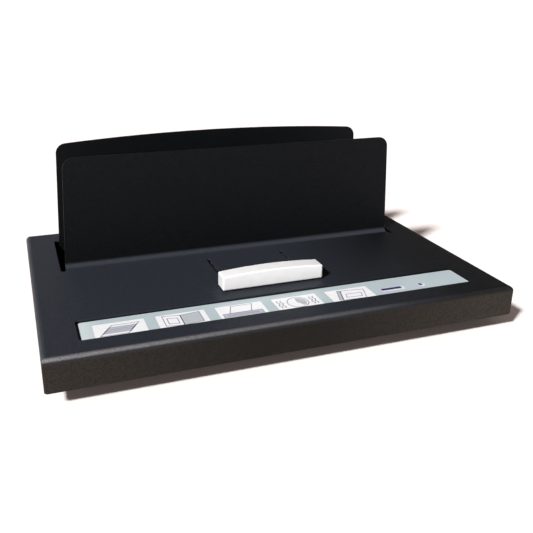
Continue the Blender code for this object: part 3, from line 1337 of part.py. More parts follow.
def make_leads(finish):
    """Leads between the inlet, the switch, the board, the heater and the indicators."""
    terminal_z = BOARD_TOP + TERMINAL_BLOCK_HEIGHT / 2
    terminal_y = BOARD_BACK - BOARD_MARGIN / 2 + GAP
    inlet_back = REAR_WALL - INLET_BODY_DEPTH - TERMINAL_LENGTH - GAP
    lane = PLATE_WIDTH / 2 + LEG_FOOT + LEAD_SWING
    terminal_x = BOARD_RIGHT - BOARD_MARGIN - LEAD_RADIUS * 2
    low = PAN_FLOOR + LEAD_RADIUS + LEAD_LIFT
    shelf_mid = SHELF_FRONT + LEG_DEPTH / 2
    live_x = INLET_X + INLET_PIN_SPACING / 2
    pin_z = REAR_PARTS_Z - INLET_PIN_RISE / 2
    lead(
        "mains_lead",
        [
            (live_x, inlet_back, pin_z),
            (live_x, inlet_back - LEAD_SWING, pin_z),
            (lane, shelf_mid, low),
            (terminal_x, terminal_y + LEAD_SWING, terminal_z),
            (terminal_x, terminal_y, terminal_z),
        ],
        LEAD_RADIUS,
        finish,
    )
    switch_back = REAR_WALL - SWITCH_BODY_DEPTH - TERMINAL_LENGTH / 2 - GAP
    neutral_x = INLET_X - INLET_PIN_SPACING / 2
    switch_x = SWITCH_X + SWITCH_BODY[0] / 4
    lead(
        "switch_lead",
        [
            (switch_x + TERMINAL_SHEET / 2 + GAP, switch_back + CABLE_RADIUS, REAR_PARTS_Z),
            (switch_x + LEAD_SWING, switch_back + CABLE_RADIUS, REAR_PARTS_Z - CABLE_RADIUS),
            (neutral_x - 2 * LEAD_SWING, inlet_back + CABLE_RADIUS, pin_z),
            (neutral_x - TERMINAL_SHEET / 2 - GAP, inlet_back + CABLE_RADIUS, pin_z),
        ],
        CABLE_RADIUS,
        finish,
    )
    heater_x = HEATER_WIDTH / 2 + GAP + LEAD_RADIUS
    heater_front = HEATER_Y - HEATER_DEPTH / 2
    above_ear = RETAINER_TOP + LEAD_LIFT + LEAD_RADIUS
    lead(
        "heater_lead",
        [
            (heater_x, terminal_y, terminal_z),
            (heater_x, terminal_y + LEAD_SWING, terminal_z - LEAD_LIFT),
            (heater_x, SHELF_FRONT - LEAD_RADIUS * 2, above_ear),
            (heater_x, heater_front + LEAD_RADIUS * 2, above_ear),
        ],
        LEAD_RADIUS,
        finish,
    )
    socket_x = BOARD_LEFT + BOARD_MARGIN + SOCKET_SIZE[0] / 2
    socket_z = BOARD_TOP + SOCKET_SIZE[2] / 2
    board_end = (BAR_PLACE_X + LAMP_PLACE_X) / 2 + INDICATOR_BOARD_LENGTH / 2
    indicator_z = INDICATOR_BOARD_TOP - BOARD_SHEET - CABLE_RADIUS - GAP
    indicator_x = board_end - LEAD_SWING
    lead(
        "indicator_cable",
        [
            (indicator_x, BAR_Y, indicator_z),
            (indicator_x, BAR_Y + LEAD_SWING, indicator_z),
            (socket_x, BOARD_FRONT - LEAD_SWING, socket_z),
            (socket_x, BOARD_FRONT - GAP, socket_z),
        ],
        CABLE_RADIUS,
        finish,
    )


clear_scene()
parts = new_collection("thermal_binding_machine")
cutters = new_collection("cutters")

powder_black = material("powder_black", (0.020, 0.021, 0.024), 0.50)
zinc_steel = material("zinc_steel", (0.62, 0.63, 0.65), 0.35, 1.0)
bright_steel = material("bright_steel", (0.70, 0.70, 0.72), 0.22, 1.0)
screw_black = material("screw_black", (0.03, 0.03, 0.032), 0.40, 0.8)
handle_white = material("handle_white", (0.86, 0.86, 0.87), 0.22)
label_film = material("label_film", (0.40, 0.49, 0.50), 0.30)
inner_black = material("inner_black", (0.04, 0.04, 0.045), 0.50)
lens_blue = material("lens_blue", (0.03, 0.04, 0.16), 0.12)
board_green = material("board_green", (0.02, 0.16, 0.07), 0.40)
foot_rubber = material("foot_rubber", (0.025, 0.025, 0.025), 0.85)
slide_nylon = material("slide_nylon", (0.75, 0.74, 0.70), 0.45)
heater_aluminium = material("heater_aluminium", (0.78, 0.79, 0.80), 0.30, 1.0)
element_mica = material("element_mica", (0.45, 0.33, 0.18), 0.50)
insulation_fibre = material("insulation_fibre", (0.80, 0.76, 0.68), 0.90)
core_laminate = material("core_laminate", (0.30, 0.28, 0.26), 0.50, 0.6)
relay_blue = material("relay_blue", (0.03, 0.10, 0.35), 0.35)
lead_sleeve = material("lead_sleeve", (0.70, 0.70, 0.68), 0.50)

make_top_cover(powder_black)
make_back_plate(powder_black)
make_base_pan(powder_black)
make_feet(foot_rubber)
make_screws(screw_black)
make_label(label_film, inner_black, lens_blue, board_green)

moving = [make_handle(handle_white), make_carriage(zinc_steel), make_jaw(powder_black)]
moving += make_jaw_screws(bright_steel)
for side, hand in ((-1, "left"), (1, "right")):
    moving.append(make_slide_block(side, hand, slide_nylon))
    make_rod_bracket(side, hand, zinc_steel)
    make_guide_rod(side, hand, bright_steel)
clamp_axis = bpy.data.objects.new("clamp_slide_axis", None)
clamp_axis.location = (0, BLOCK_FRONT, ROD_Z)
parts.objects.link(clamp_axis)
carry(clamp_axis, *moving)

make_heater(heater_aluminium, element_mica, insulation_fibre, zinc_steel, bright_steel)
make_thermostat(bright_steel)
make_thermal_fuse(bright_steel)
make_control_board(board_green, core_laminate, relay_blue, inner_black, slide_nylon)
make_mains_inlet(inner_black)
make_power_switch(inner_black, inner_black)
make_start_switch(inner_black, bright_steel)
make_leads(lead_sleeve)
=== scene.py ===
"""Desk-top thermal binding machine, dressed for rendering.

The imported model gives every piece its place. The sections below go through the machine as it
is put together, from the base pan up, and give each piece its finish and its fine shape.
Metres, +Z up. +X is to the right and +Y to the back, as seen by the person at the handle.
"""

import math

import bmesh
import bpy
from mathutils import Matrix, Vector


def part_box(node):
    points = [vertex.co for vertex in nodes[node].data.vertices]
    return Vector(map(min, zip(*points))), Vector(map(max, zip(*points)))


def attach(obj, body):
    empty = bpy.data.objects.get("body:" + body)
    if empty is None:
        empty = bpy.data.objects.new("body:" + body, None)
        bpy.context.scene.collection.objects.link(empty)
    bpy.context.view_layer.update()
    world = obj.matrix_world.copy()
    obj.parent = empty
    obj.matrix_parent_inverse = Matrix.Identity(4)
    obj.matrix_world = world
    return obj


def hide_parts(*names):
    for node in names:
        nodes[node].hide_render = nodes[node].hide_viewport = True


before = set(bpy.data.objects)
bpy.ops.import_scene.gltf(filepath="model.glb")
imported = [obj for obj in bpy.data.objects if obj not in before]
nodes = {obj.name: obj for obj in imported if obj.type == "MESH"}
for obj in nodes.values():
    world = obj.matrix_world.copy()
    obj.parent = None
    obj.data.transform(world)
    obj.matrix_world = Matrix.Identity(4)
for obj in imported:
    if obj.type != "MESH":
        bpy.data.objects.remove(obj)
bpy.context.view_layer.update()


# ---- Base pan --------------------------------------------------------------------------
# 1.2 mm sheet steel folded up on four sides, with its own rear wall and vent slots. Like
# the cover it is powder coated, a fine black texture of melted grains with a dull sheen.

POWDER_BLACK = (0.0055, 0.0064, 0.0076)
POWDER_FLECK = (0.018, 0.020, 0.023)
# Colour of the painted sheen on the top of the cover.
POWDER_SHEEN = (0.0225, 0.0268, 0.0350)
# Colour of the painted warm reflection on the apron.
POWDER_APRON_REFLECTION = (0.0265, 0.0222, 0.0180)
GRAINS_PER_METRE = 900
FINE_GRAINS_PER_METRE = 2100
BEND_TOP, BEND_FOOT, BEND_BACK = 0.0406, 0.0393, -0.1270
BEND_FADE = 0.0012
# Colour of the painted highlight on the cover's front bend.
BEND_PAINTED_HIGHLIGHT = (0.30, 0.285, 0.29)
# Place and colour of the painted highlight along the front plate's fold.
FOLD_TOP, FOLD_FOOT = 0.0452, 0.0425
FOLD_PAINTED_HIGHLIGHT = (0.040, 0.046, 0.056)
APRON_TONE_TOP, APRON_TONE_FULL = 0.0390, 0.0355
REFLECTION_LEFT_FROM, REFLECTION_LEFT_TO = -0.04, -0.20
REFLECTION_RIGHT_FROM, REFLECTION_RIGHT_TO = 0.02, 0.17
# Colours of the dimmer painted reflection in the apron's middle.
DIM_REFLECTION_DEEP, DIM_REFLECTION_PALE = (0.0050, 0.0038, 0.0030), (0.0110, 0.0085, 0.0065)
SHEEN_FADES_FROM, SHEEN_FADES_TO = 0.03, 0.15
HIGHLIGHT_FADES_RIGHT, HIGHLIGHT_FULL_LEFT = 0.10, -0.20
WELD = 0.00001
FLAT_TURN = math.radians(0.5)


def new_finish(name, colour, roughness, metallic=0.0):
    """A material with one shader. Returns it, its tree, its shader and the place in the machine."""
    finish = bpy.data.materials.new(name)
    finish.use_nodes = True
    tree = finish.node_tree
    shader = tree.nodes["Principled BSDF"]
    shader.inputs["Base Color"].default_value = (*colour, 1)
    shader.inputs["Roughness"].default_value = roughness
    shader.inputs["Metallic"].default_value = metallic
    return finish, tree, shader, tree.nodes.new("ShaderNodeTexCoord").outputs["Object"]


def grains(tree, place, per_metre, detail=2.0):
    """Soft random grains, 0 to 1."""
    noise = tree.nodes.new("ShaderNodeTexNoise")
    noise.inputs["Scale"].default_value = per_metre
    noise.inputs["Detail"].default_value = detail
    tree.links.new(place, noise.inputs["Vector"])
    return noise.outputs["Fac"]


def stretched(tree, place, x, y, z):
    """The place with each axis scaled, for brushed or woven marks."""
    scale = tree.nodes.new("ShaderNodeMapping")
    scale.inputs["Scale"].default_value = (x, y, z)
    tree.links.new(place, scale.inputs["Vector"])
    return scale.outputs["Vector"]


def shades(tree, value, *stops):
    """Colours along a value, from (value, colour) pairs."""
    ramp = tree.nodes.new("ShaderNodeValToRGB")
    while len(ramp.color_ramp.elements) < len(stops):
        ramp.color_ramp.elements.new(0.5)
    for element, (position, colour) in zip(ramp.color_ramp.elements, stops):
        element.position = position
        element.color = (*colour, 1)
    tree.links.new(value, ramp.inputs["Fac"])
    return ramp.outputs["Color"]


def toned(tree, shader, value, *stops):
    """Colours the surface along a value, from (value, colour) pairs."""
    tree.links.new(shades(tree, value, *stops), shader.inputs["Base Color"])


def levels(tree, value, low, high, to_low, to_high):
    """Carries a value from one span to another."""
    span = tree.nodes.new("ShaderNodeMapRange")
    for socket, number in zip(span.inputs[1:5], (low, high, to_low, to_high)):
        socket.default_value = number
    tree.links.new(value, span.inputs["Value"])
    return span.outputs["Result"]


def roughened(tree, shader, value, low, high):
    """Roughness from low to high over the middle of a grain's span."""
    tree.links.new(levels(tree, value, 0.3, 0.7, low, high), shader.inputs["Roughness"])


def blended(tree, share, first, second):
    """A mix of two colours by a share."""
    mix = tree.nodes.new("ShaderNodeMix")
    mix.data_type = "RGBA"
    tree.links.new(share, mix.inputs["Factor"])
    for socket, colour in ((mix.inputs["A"], first), (mix.inputs["B"], second)):
        if isinstance(colour, tuple):
            socket.default_value = (*colour, 1)
        else:
            tree.links.new(colour, socket)
    return mix.outputs["Result"]


def relief(tree, shader, height, depth, strength=1.0, under=None):
    """Raises the surface by a height of 0 to 1, so many metres deep."""
    bump = tree.nodes.new("ShaderNodeBump")
    bump.inputs["Strength"].default_value = strength
    bump.inputs["Distance"].default_value = depth
    tree.links.new(height, bump.inputs["Height"])
    if under is not None:
        tree.links.new(under, bump.inputs["Normal"])
    tree.links.new(bump.outputs["Normal"], shader.inputs["Normal"])
    return bump.outputs["Normal"]


def together(tree, first, second):
    """Two shares multiplied."""
    product = tree.nodes.new("ShaderNodeMath")
    product.operation = "MULTIPLY"
    tree.links.new(first, product.inputs[0])
    tree.links.new(second, product.inputs[1])
    return product.outputs["Value"]


def powder_coat(name, gloss):
    """Black texture powder: fine pale specks and a low rough relief."""
    finish, tree, shader, place = new_finish(name, POWDER_BLACK, 0.45)
    shader.inputs["Specular IOR Level"].default_value = gloss
    coarse = grains(tree, place, GRAINS_PER_METRE, 3)
    fine = grains(tree, place, FINE_GRAINS_PER_METRE)
    deep = tuple(0.7 * c for c in POWDER_BLACK)
    speckle = shades(tree, fine, (0.36, deep), (0.56, POWDER_BLACK), (0.74, POWDER_FLECK))
    tree.links.new(speckle, shader.inputs["Base Color"])
    roughened(tree, shader, coarse, 0.38, 0.52)
    rough = relief(tree, shader, coarse, 0.0004)
    relief(tree, shader, fine, 0.0002, under=rough)
    return finish, tree, shader, place, coarse, fine, speckle


def upright_powder():
    """The powder of the front plate, with a painted highlight along the fold at its foot."""
    finish, tree, shader, place, _, fine, speckle = powder_coat("front_plate_powder", 0.08)
    axes = tree.nodes.new("ShaderNodeSeparateXYZ")
    tree.links.new(place, axes.inputs["Vector"])
    near_fold = levels(tree, axes.outputs["Z"], FOLD_TOP, FOLD_FOOT, 0, 1)
    fold_highlight = together(tree, near_fold, levels(tree, fine, 0.3, 0.6, 0.4, 1))
    tree.links.new(blended(tree, fold_highlight, speckle, FOLD_PAINTED_HIGHLIGHT), shader.inputs["Base Color"])
    return finish


def cover_with_painted_light():
    """The powder of the cover, with a painted reflection on its apron, a painted sheen on its top, paler to
    the left, and a painted highlight on its front bend.
    """
    finish, tree, shader, place, coarse, fine, speckle = powder_coat("cover_powder", 0.16)
    axes = tree.nodes.new("ShaderNodeSeparateXYZ")
    tree.links.new(place, axes.inputs["Vector"])
    across, along, up = (axes.outputs[axis] for axis in "XYZ")

    # A painted warm reflection colours the apron, brighter at its ends and dimmer in the middle.
    low = levels(tree, up, APRON_TONE_TOP, APRON_TONE_FULL, 0, 1)
    reflection_deep, reflection_pale = (tuple(share * c for c in POWDER_APRON_REFLECTION) for share in (0.62, 1.45))
    apron_reflection = shades(tree, coarse, (0.36, reflection_deep), (0.50, POWDER_APRON_REFLECTION), (0.68, reflection_pale))
    dim_reflection = shades(tree, coarse, (0.36, DIM_REFLECTION_DEEP), (0.66, DIM_REFLECTION_PALE))
    left_end = levels(tree, across, REFLECTION_LEFT_FROM, REFLECTION_LEFT_TO, 0, 0.75)
    right_end = levels(tree, across, REFLECTION_RIGHT_FROM, REFLECTION_RIGHT_TO, 0, 1.0)
    apron = blended(tree, right_end, blended(tree, left_end, dim_reflection, apron_reflection), apron_reflection)

    # A painted sheen makes the top paler and bluer, fading out towards the right.
    sheen_deep, sheen_pale = (tuple(share * c for c in POWDER_SHEEN) for share in (0.72, 1.5))
    sheen = shades(tree, fine, (0.34, sheen_deep), (0.54, POWDER_SHEEN), (0.74, sheen_pale))
    top = blended(tree, levels(tree, across, SHEEN_FADES_FROM, SHEEN_FADES_TO, 0, 1), sheen, speckle)
    coat = blended(tree, low, top, apron)

    # Painted highlight on the front bend: pale flecks on the tops of the grains, strongest at the left and
    # fading to the right.
    risen = levels(tree, up, BEND_FOOT - BEND_FADE, BEND_FOOT, 0, 1)
    forward = levels(tree, along, BEND_BACK, BEND_BACK - BEND_FADE, 0, 1)
    arc = together(tree, risen, forward)
    arc = together(tree, arc, levels(tree, up, BEND_TOP + 0.0004, BEND_TOP - 0.0006, 0, 1))
    bend_highlight = together(tree, arc, levels(tree, across, HIGHLIGHT_FADES_RIGHT, HIGHLIGHT_FULL_LEFT, 0.05, 1.0))
    bend_highlight = together(tree, bend_highlight, levels(tree, fine, 0.38, 0.62, 0.12, 1.0))
    tree.links.new(blended(tree, bend_highlight, coat, BEND_PAINTED_HIGHLIGHT), shader.inputs["Base Color"])
    tree.links.new(levels(tree, low, 0, 1, 0.45, 0.62), shader.inputs["Roughness"])
    return finish


def dress(node, finish):
    for slot in node.material_slots:
        slot.material = finish


def ease(node, width, turn=32):
    """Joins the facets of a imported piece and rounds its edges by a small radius."""
    weld = node.modifiers.new("weld", "WELD")
    weld.merge_threshold = WELD
    flat = node.modifiers.new("flat", "DECIMATE")
    flat.decimate_type = "DISSOLVE"
    flat.angle_limit = FLAT_TURN
    edge = node.modifiers.new("edge", "BEVEL")
    edge.width = width
    edge.segments = 2
    edge.angle_limit = math.radians(turn)
    edge.use_clamp_overlap = False
    smooth = node.modifiers.new("smooth", "WEIGHTED_NORMAL")
    smooth.weight = 90


cover_powder = cover_with_painted_light()
front_plate_powder = upright_powder()
plate_powder = powder_coat("plate_powder", 0.08)[0]
dress(nodes["base_pan"], plate_powder)
ease(nodes["base_pan"], 0.00025)


# ---- Feet ------------------------------------------------------------------------------
# Four turned feet of soft black rubber. Their stems are pulled through holes in the pan,
# and the ground contact has rubbed their undersides dull.

foot_rubber, tree, shader, place = new_finish("foot_rubber", (0.022, 0.022, 0.023), 0.78)
skin = grains(tree, place, 900, 4)
toned(tree, shader, skin, (0.3, (0.016, 0.016, 0.017)), (0.7, (0.032, 0.031, 0.030)))
relief(tree, shader, skin, 0.0001)
for corner in ("front_left", "front_right", "back_left", "back_right"):
    dress(nodes[f"foot_{corner}"], foot_rubber)
    ease(nodes[f"foot_{corner}"], 0.0006)


# ---- Screws ----------------------------------------------------------------------------
# Pan-head machine screws with a cross recess. Those in the case are black zinc, those on
# the jaw, the shelf and the heater are bright zinc.

RECESS_SHARE = 0.62
RECESS_SLOT_SHARE = 0.17
RECESS_DEPTH_SHARE = 0.5


def metal_finish(name, colour, roughness, marks=(700, 700, 700), depth=0.00003):
    """Plated or rolled metal, with faint marks of its making."""
    finish, tree, shader, place = new_finish(name, colour, roughness, 1.0)
    marked = grains(tree, stretched(tree, place, *marks), 1.0, 3)
    pale = tuple(min(1.0, 1.12 * c) for c in colour)
    deep = tuple(0.82 * c for c in colour)
    toned(tree, shader, marked, (0.3, deep), (0.7, pale))
    roughened(tree, shader, marked, 0.8 * roughness, 1.25 * roughness)
    relief(tree, shader, marked, depth)
    return finish


def settled_mesh(obj):
    """The object's mesh with its modifiers in it."""
    view = bpy.context.evaluated_depsgraph_get()
    return bpy.data.meshes.new_from_object(obj.evaluated_get(view))


def new_piece(name, mesh, body, finish):
    """Adds a piece that rides on a body and takes its finish from a slot."""
    piece = bpy.data.objects.new(name, mesh)
    bpy.context.scene.collection.objects.link(piece)
    if finish is not None:
        mesh.materials.clear()
        mesh.materials.append(finish)
    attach(piece, body)
    return piece


def cross_cutter(centre, face, radius, depth):
    """The cross that the driver fits, as two crossed bars with tapered ends."""
    shape = bmesh.new()
    side = face.orthogonal().normalized()
    turn = Matrix((side, face.cross(side), face)).transposed().to_4x4()
    for bar in (0, math.pi / 2):
        made = bmesh.ops.create_cube(shape, size=1)
        size = Matrix.Diagonal((2 * radius, 2 * radius * RECESS_SLOT_SHARE, 2 * depth, 1))
        place = Matrix.Translation(centre) @ turn @ Matrix.Rotation(bar, 4, "Z") @ size
        bmesh.ops.transform(shape, matrix=place, verts=made["verts"])
    mesh = bpy.data.meshes.new("cross")
    shape.to_mesh(mesh)
    shape.free()
    cutter = bpy.data.objects.new("cross", mesh)
    bpy.context.scene.collection.objects.link(cutter)
    return cutter


def recessed_screw(name, face, body, finish):
    """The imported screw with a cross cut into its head, which faces along face."""
    low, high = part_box(name)
    middle, half, face = (low + high) / 2, (high - low) / 2, Vector(face)
    reach = abs(half.dot(face))
    across = max((half - Vector(abs(c) for c in face) * reach).to_tuple())
    cutter = cross_cutter(middle + face * reach, face, across * RECESS_SHARE, across * RECESS_DEPTH_SHARE)
    blank = bpy.data.objects.new("blank", nodes[name].data.copy())
    bpy.context.scene.collection.objects.link(blank)
    ease(blank, 0.00015)
    cut = blank.modifiers.new("cut", "BOOLEAN")
    cut.object = cutter
    cut.solver = "EXACT"
    cut.use_self = True
    mesh = settled_mesh(blank)
    for scrap in (cutter, blank):
        bpy.data.objects.remove(scrap)
    piece = new_piece(f"{name}_recessed", mesh, body, finish)
    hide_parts(name)


black_zinc = metal_finish("black_zinc", (0.035, 0.035, 0.038), 0.36)
bright_zinc = metal_finish("bright_zinc", (0.66, 0.67, 0.69), 0.28)
for side, out in (("left", -1), ("right", 1)):
    for end in ("front", "back"):
        recessed_screw(f"case_screw_{end}_{side}", (out, 0, 0), "case", black_zinc)
for number in (1, 2, 3, 4):
    recessed_screw(f"shelf_screw_{number}", (0, 0, -1), "case", bright_zinc)
    recessed_screw(f"heater_bolt_{number}", (0, 0, -1), "case", bright_zinc)
for number in (1, 2, 3):
    recessed_screw(f"jaw_screw_{number}", (0, 0, -1), "clamp", bright_zinc)


# ---- Guide rods and brackets -------------------------------------------------------------
# Two ground steel rods carry the slide. Each sits in a bent zinc-plated bracket that is
# spot welded to the pan, and is held by the heads at its ends.

ground_steel = metal_finish("ground_steel", (0.71, 0.71, 0.73), 0.16, marks=(4000, 60, 4000), depth=0.00001)
zinc_plate = metal_finish("zinc_plate", (0.60, 0.61, 0.63), 0.38, marks=(260, 260, 260), depth=0.00004)
for side in ("left", "right"):
    dress(nodes[f"guide_rod_{side}"], ground_steel)
    ease(nodes[f"guide_rod_{side}"], 0.0003)
    dress(nodes[f"rod_bracket_{side}"], zinc_plate)
    ease(nodes[f"rod_bracket_{side}"], 0.0002)


# ---- Slide -------------------------------------------------------------------------------
# The carriage plate is bent steel, zinc plated, and the clamp jaw is bent steel with a
# powder coat. Two natural nylon blocks under the carriage run on the rods.

slide_nylon, tree, shader, place = new_finish("slide_nylon", (0.74, 0.72, 0.66), 0.42)
shader.inputs["Subsurface Weight"].default_value = 0.15
shader.inputs["Subsurface Radius"].default_value = (0.002, 0.002, 0.002)
flow = grains(tree, place, 350, 3)
toned(tree, shader, flow, (0.3, (0.70, 0.67, 0.60)), (0.7, (0.78, 0.76, 0.71)))
relief(tree, shader, flow, 0.00005)
for side in ("left", "right"):
    dress(nodes[f"slide_block_{side}"], slide_nylon)
    ease(nodes[f"slide_block_{side}"], 0.0004)
for name, finish in (("carriage_plate", zinc_plate), ("clamp_jaw", plate_powder)):
    dress(nodes[name], finish)
    ease(nodes[name], 0.0002)


# ---- Heater ------------------------------------------------------------------------------
# A rolled aluminium plate lies against the underside of the shelf. Under it come the mica
# element, a mineral fibre board and a zinc-plated retainer, with the thermostat and fuse.

rolled_aluminium = metal_finish("rolled_aluminium", (0.78, 0.79, 0.80), 0.33, marks=(40, 2500, 2500))
mica, tree, shader, place = new_finish("mica_laminate", (0.42, 0.30, 0.16), 0.35)
flakes = tree.nodes.new("ShaderNodeTexVoronoi")
flakes.inputs["Scale"].default_value = 420
tree.links.new(place, flakes.inputs["Vector"])
toned(
    tree,
    shader,
    flakes.outputs["Color"],
    (0.2, (0.33, 0.23, 0.12)),
    (0.6, (0.46, 0.34, 0.19)),
    (0.9, (0.58, 0.47, 0.30)),
)
relief(tree, shader, flakes.outputs["Distance"], 0.00006)
fibre_board, tree, shader, place = new_finish("fibre_board", (0.78, 0.74, 0.66), 0.9)
fibres = grains(tree, stretched(tree, place, 300, 1900, 1900), 1.0, 4)
toned(tree, shader, fibres, (0.3, (0.66, 0.61, 0.52)), (0.7, (0.86, 0.83, 0.76)))
relief(tree, shader, fibres, 0.0003)
for name, finish in (
    ("heater_plate", rolled_aluminium),
    ("heating_element", mica),
    ("insulation_board", fibre_board),
    ("heater_retainer", zinc_plate),
    ("thermostat", zinc_plate),
    ("thermal_fuse", bright_zinc),
):
    dress(nodes[name], finish)
    ease(nodes[name], 0.0002)


# ---- Control board -----------------------------------------------------------------------
# Green lacquered fibreglass on four nylon pillars, with a small mains transformer, a blue
# sealed relay and a buzzer soldered to it.

def lacquer(name):
    """Solder mask over copper tracks, which show as raised bands."""
    finish, tree, shader, place = new_finish(name, (0.02, 0.15, 0.06), 0.3)
    tracks = tree.nodes.new("ShaderNodeTexBrick")
    for socket, number in (
        ("Scale", 110.0),
        ("Mortar Size", 0.07),
        ("Brick Width", 0.9),
        ("Row Height", 0.35),
    ):
        tracks.inputs[socket].default_value = number
    tree.links.new(place, tracks.inputs["Vector"])
    toned(tree, shader, tracks.outputs["Fac"], (0.1, (0.014, 0.12, 0.045)), (0.9, (0.03, 0.24, 0.09)))
    relief(tree, shader, tracks.outputs["Fac"], 0.00006)
    return finish


board_lacquer = lacquer("board_lacquer")
laminations, tree, shader, place = new_finish("core_laminations", (0.26, 0.24, 0.22), 0.45, 0.8)
plies = tree.nodes.new("ShaderNodeTexWave")
plies.bands_direction = "Y"
plies.inputs["Scale"].default_value = 320
tree.links.new(place, plies.inputs["Vector"])
toned(tree, shader, plies.outputs["Fac"], (0.2, (0.12, 0.10, 0.09)), (0.7, (0.34, 0.31, 0.28)))
relief(tree, shader, plies.outputs["Fac"], 0.0001)


def moulded(name, colour, roughness, pale, per_metre=1500, depth=0.00005):
    """Moulded plastic with the fine matt grain of its tool."""
    finish, tree, shader, place = new_finish(name, colour, roughness)
    grain = grains(tree, place, per_metre, 3)
    toned(tree, shader, grain, (0.35, colour), (0.72, pale))
    roughened(tree, shader, grain, 0.85 * roughness, 1.15 * roughness)
    relief(tree, shader, grain, depth)
    return finish


relay_blue = moulded("relay_blue", (0.02, 0.085, 0.32), 0.28, (0.03, 0.11, 0.38), 400)
black_plastic = moulded("black_plastic", (0.018, 0.018, 0.020), 0.48, (0.034, 0.034, 0.036))
for name, finish in (
    ("control_board", board_lacquer),
    ("transformer", laminations),
    ("relay", relay_blue),
    ("buzzer", black_plastic),
    *((f"board_pillar_{number}", slide_nylon) for number in (1, 2, 3, 4)),
):
    dress(nodes[name], finish)
    ease(nodes[name], 0.0002)


# ---- Mains inlet and power switch ----------------------------------------------------------
# A moulded appliance inlet and a rocker switch, both snapped into the rear wall. The inlet's
# three blades are plated brass.

BLADE_PLACES = ((0.1725, 0.0020), (0.1655, -0.0020), (0.1795, -0.0020))
BLADE_HALF, BLADE_HALF_HEIGHT = 0.00106, 0.00206
BLADE_LENGTH = 0.0140
BLADE_TAPER = 0.0009
BLADE_PROUD = 0.0001
SOCKET_DEPTH = 0.0165

for name, width in (("mains_inlet", 0.0003), ("power_switch", 0.0003), ("power_rocker", 0.0005)):
    dress(nodes[name], black_plastic)
    ease(nodes[name], width)

plated_brass = metal_finish("plated_brass", (0.80, 0.76, 0.66), 0.24, marks=(300, 90, 300))
low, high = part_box("mains_inlet")
socket_floor, socket_height = high.y - SOCKET_DEPTH, (low.z + high.z) / 2
shape = bmesh.new()
for x, rise in BLADE_PLACES:
    middle, tip = socket_height + rise, socket_floor + BLADE_LENGTH + BLADE_PROUD
    loops = []
    for y, share in (
        (socket_floor, 1.0),
        (tip - BLADE_TAPER, 1.0),
        (tip - BLADE_TAPER / 3, 0.82),
        (tip, 0.45),
    ):
        wide, tall = BLADE_HALF * share, BLADE_HALF_HEIGHT * (1 - (1 - share) / 2)
        corners = ((-wide, -tall), (wide, -tall), (wide, tall), (-wide, tall))
        loops.append([shape.verts.new((x + across, y, middle + up)) for across, up in corners])
    for near, far in zip(loops, loops[1:]):
        for i in range(4):
            shape.faces.new((near[i], near[(i + 1) % 4], far[(i + 1) % 4], far[i]))
    shape.faces.new(loops[0])
    shape.faces.new(loops[-1])
bmesh.ops.recalc_face_normals(shape, faces=shape.faces)
mesh = bpy.data.meshes.new("inlet_blades")
shape.to_mesh(mesh)
shape.free()
blades = new_piece("inlet_blades", mesh, "case", plated_brass)
edge = blades.modifiers.new("edge", "BEVEL")
edge.width = 0.0002
edge.segments = 2


# ---- Start switch --------------------------------------------------------------------------
# A snap switch behind the back plate. Its lever comes through the shelf and is pressed by
# the spine of the document that is stood on it.

dress(nodes["start_switch"], black_plastic)
ease(nodes["start_switch"], 0.0002)
dress(nodes["start_lever"], bright_zinc)
ease(nodes["start_lever"], 0.00015)


# ---- Inner leads ---------------------------------------------------------------------------
# Stranded leads in a glass-braid sleeve, cut to length between their tabs.

lead_sleeve, tree, shader, place = new_finish("lead_sleeve", (0.66, 0.65, 0.62), 0.72)
braid = tree.nodes.new("ShaderNodeTexChecker")
braid.inputs["Scale"].default_value = 1500
tree.links.new(place, braid.inputs["Vector"])
toned(tree, shader, braid.outputs["Fac"], (0.1, (0.58, 0.57, 0.53)), (0.9, (0.74, 0.73, 0.70)))
relief(tree, shader, braid.outputs["Fac"], 0.0001)
for name in ("mains_lead", "switch_lead", "heater_lead", "indicator_cable"):
    dress(nodes[name], lead_sleeve)


# ---- Back plate ----------------------------------------------------------------------------
# One sheet, bent forward at its foot into the shelf that the document stands on. It is
# coated like the cover and screwed to the pan by its two legs.

dress(nodes["back_plate"], plate_powder)
ease(nodes["back_plate"], 0.0003)


# ---- Label strip -----------------------------------------------------------------------------
# A printed satin film under the edge of the cover's cut-out, on a moulded carrier. Its five
# white panels hold line pictures of binding, and two windows let the indicators show.

FILM_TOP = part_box("label_strip")[1].z
INK_STEP = 0.00003
LABEL_HALF = 0.1695
LABEL_FRONT, LABEL_BACK = -0.1098, -0.0777
LABEL_CORNER = 0.0025
BORDER, BORDER_CORNER = 0.0016, 0.0012
# Widths of the painted shadow that the cut-out's edge casts on the film.
SHADOW_UNDER = 0.002
SHADOW_LEFT, SHADOW_RIGHT, SHADOW_FRONT, SHADOW_BACK = 0.0021, 0.0006, 0.0004, 0.0009
SHADOW_CORNER = 0.0022
FILM_LIT_END_FROM, FILM_LIT_END_TO = -0.150, -0.166
PANEL_LEFTS = (-0.1577, -0.1091, -0.0605, -0.0119, 0.0367)
PANEL_WIDTH, PANEL_DEPTH = 0.0396, 0.0228
PANEL_FRONT = LABEL_FRONT + 0.0008
PANEL_CORNER = 0.0010
LINE = 0.0007


def ink(name, colour, roughness=0.42):
    """Screen-printed ink, a little uneven in tone."""
    finish, tree, shader, place = new_finish(name, colour, roughness)
    mottle = grains(tree, place, 260, 4)
    deep = tuple(0.94 * c for c in colour)
    toned(tree, shader, mottle, (0.3, deep), (0.7, colour))
    relief(tree, shader, grains(tree, place, 5200), 0.00002)
    return finish


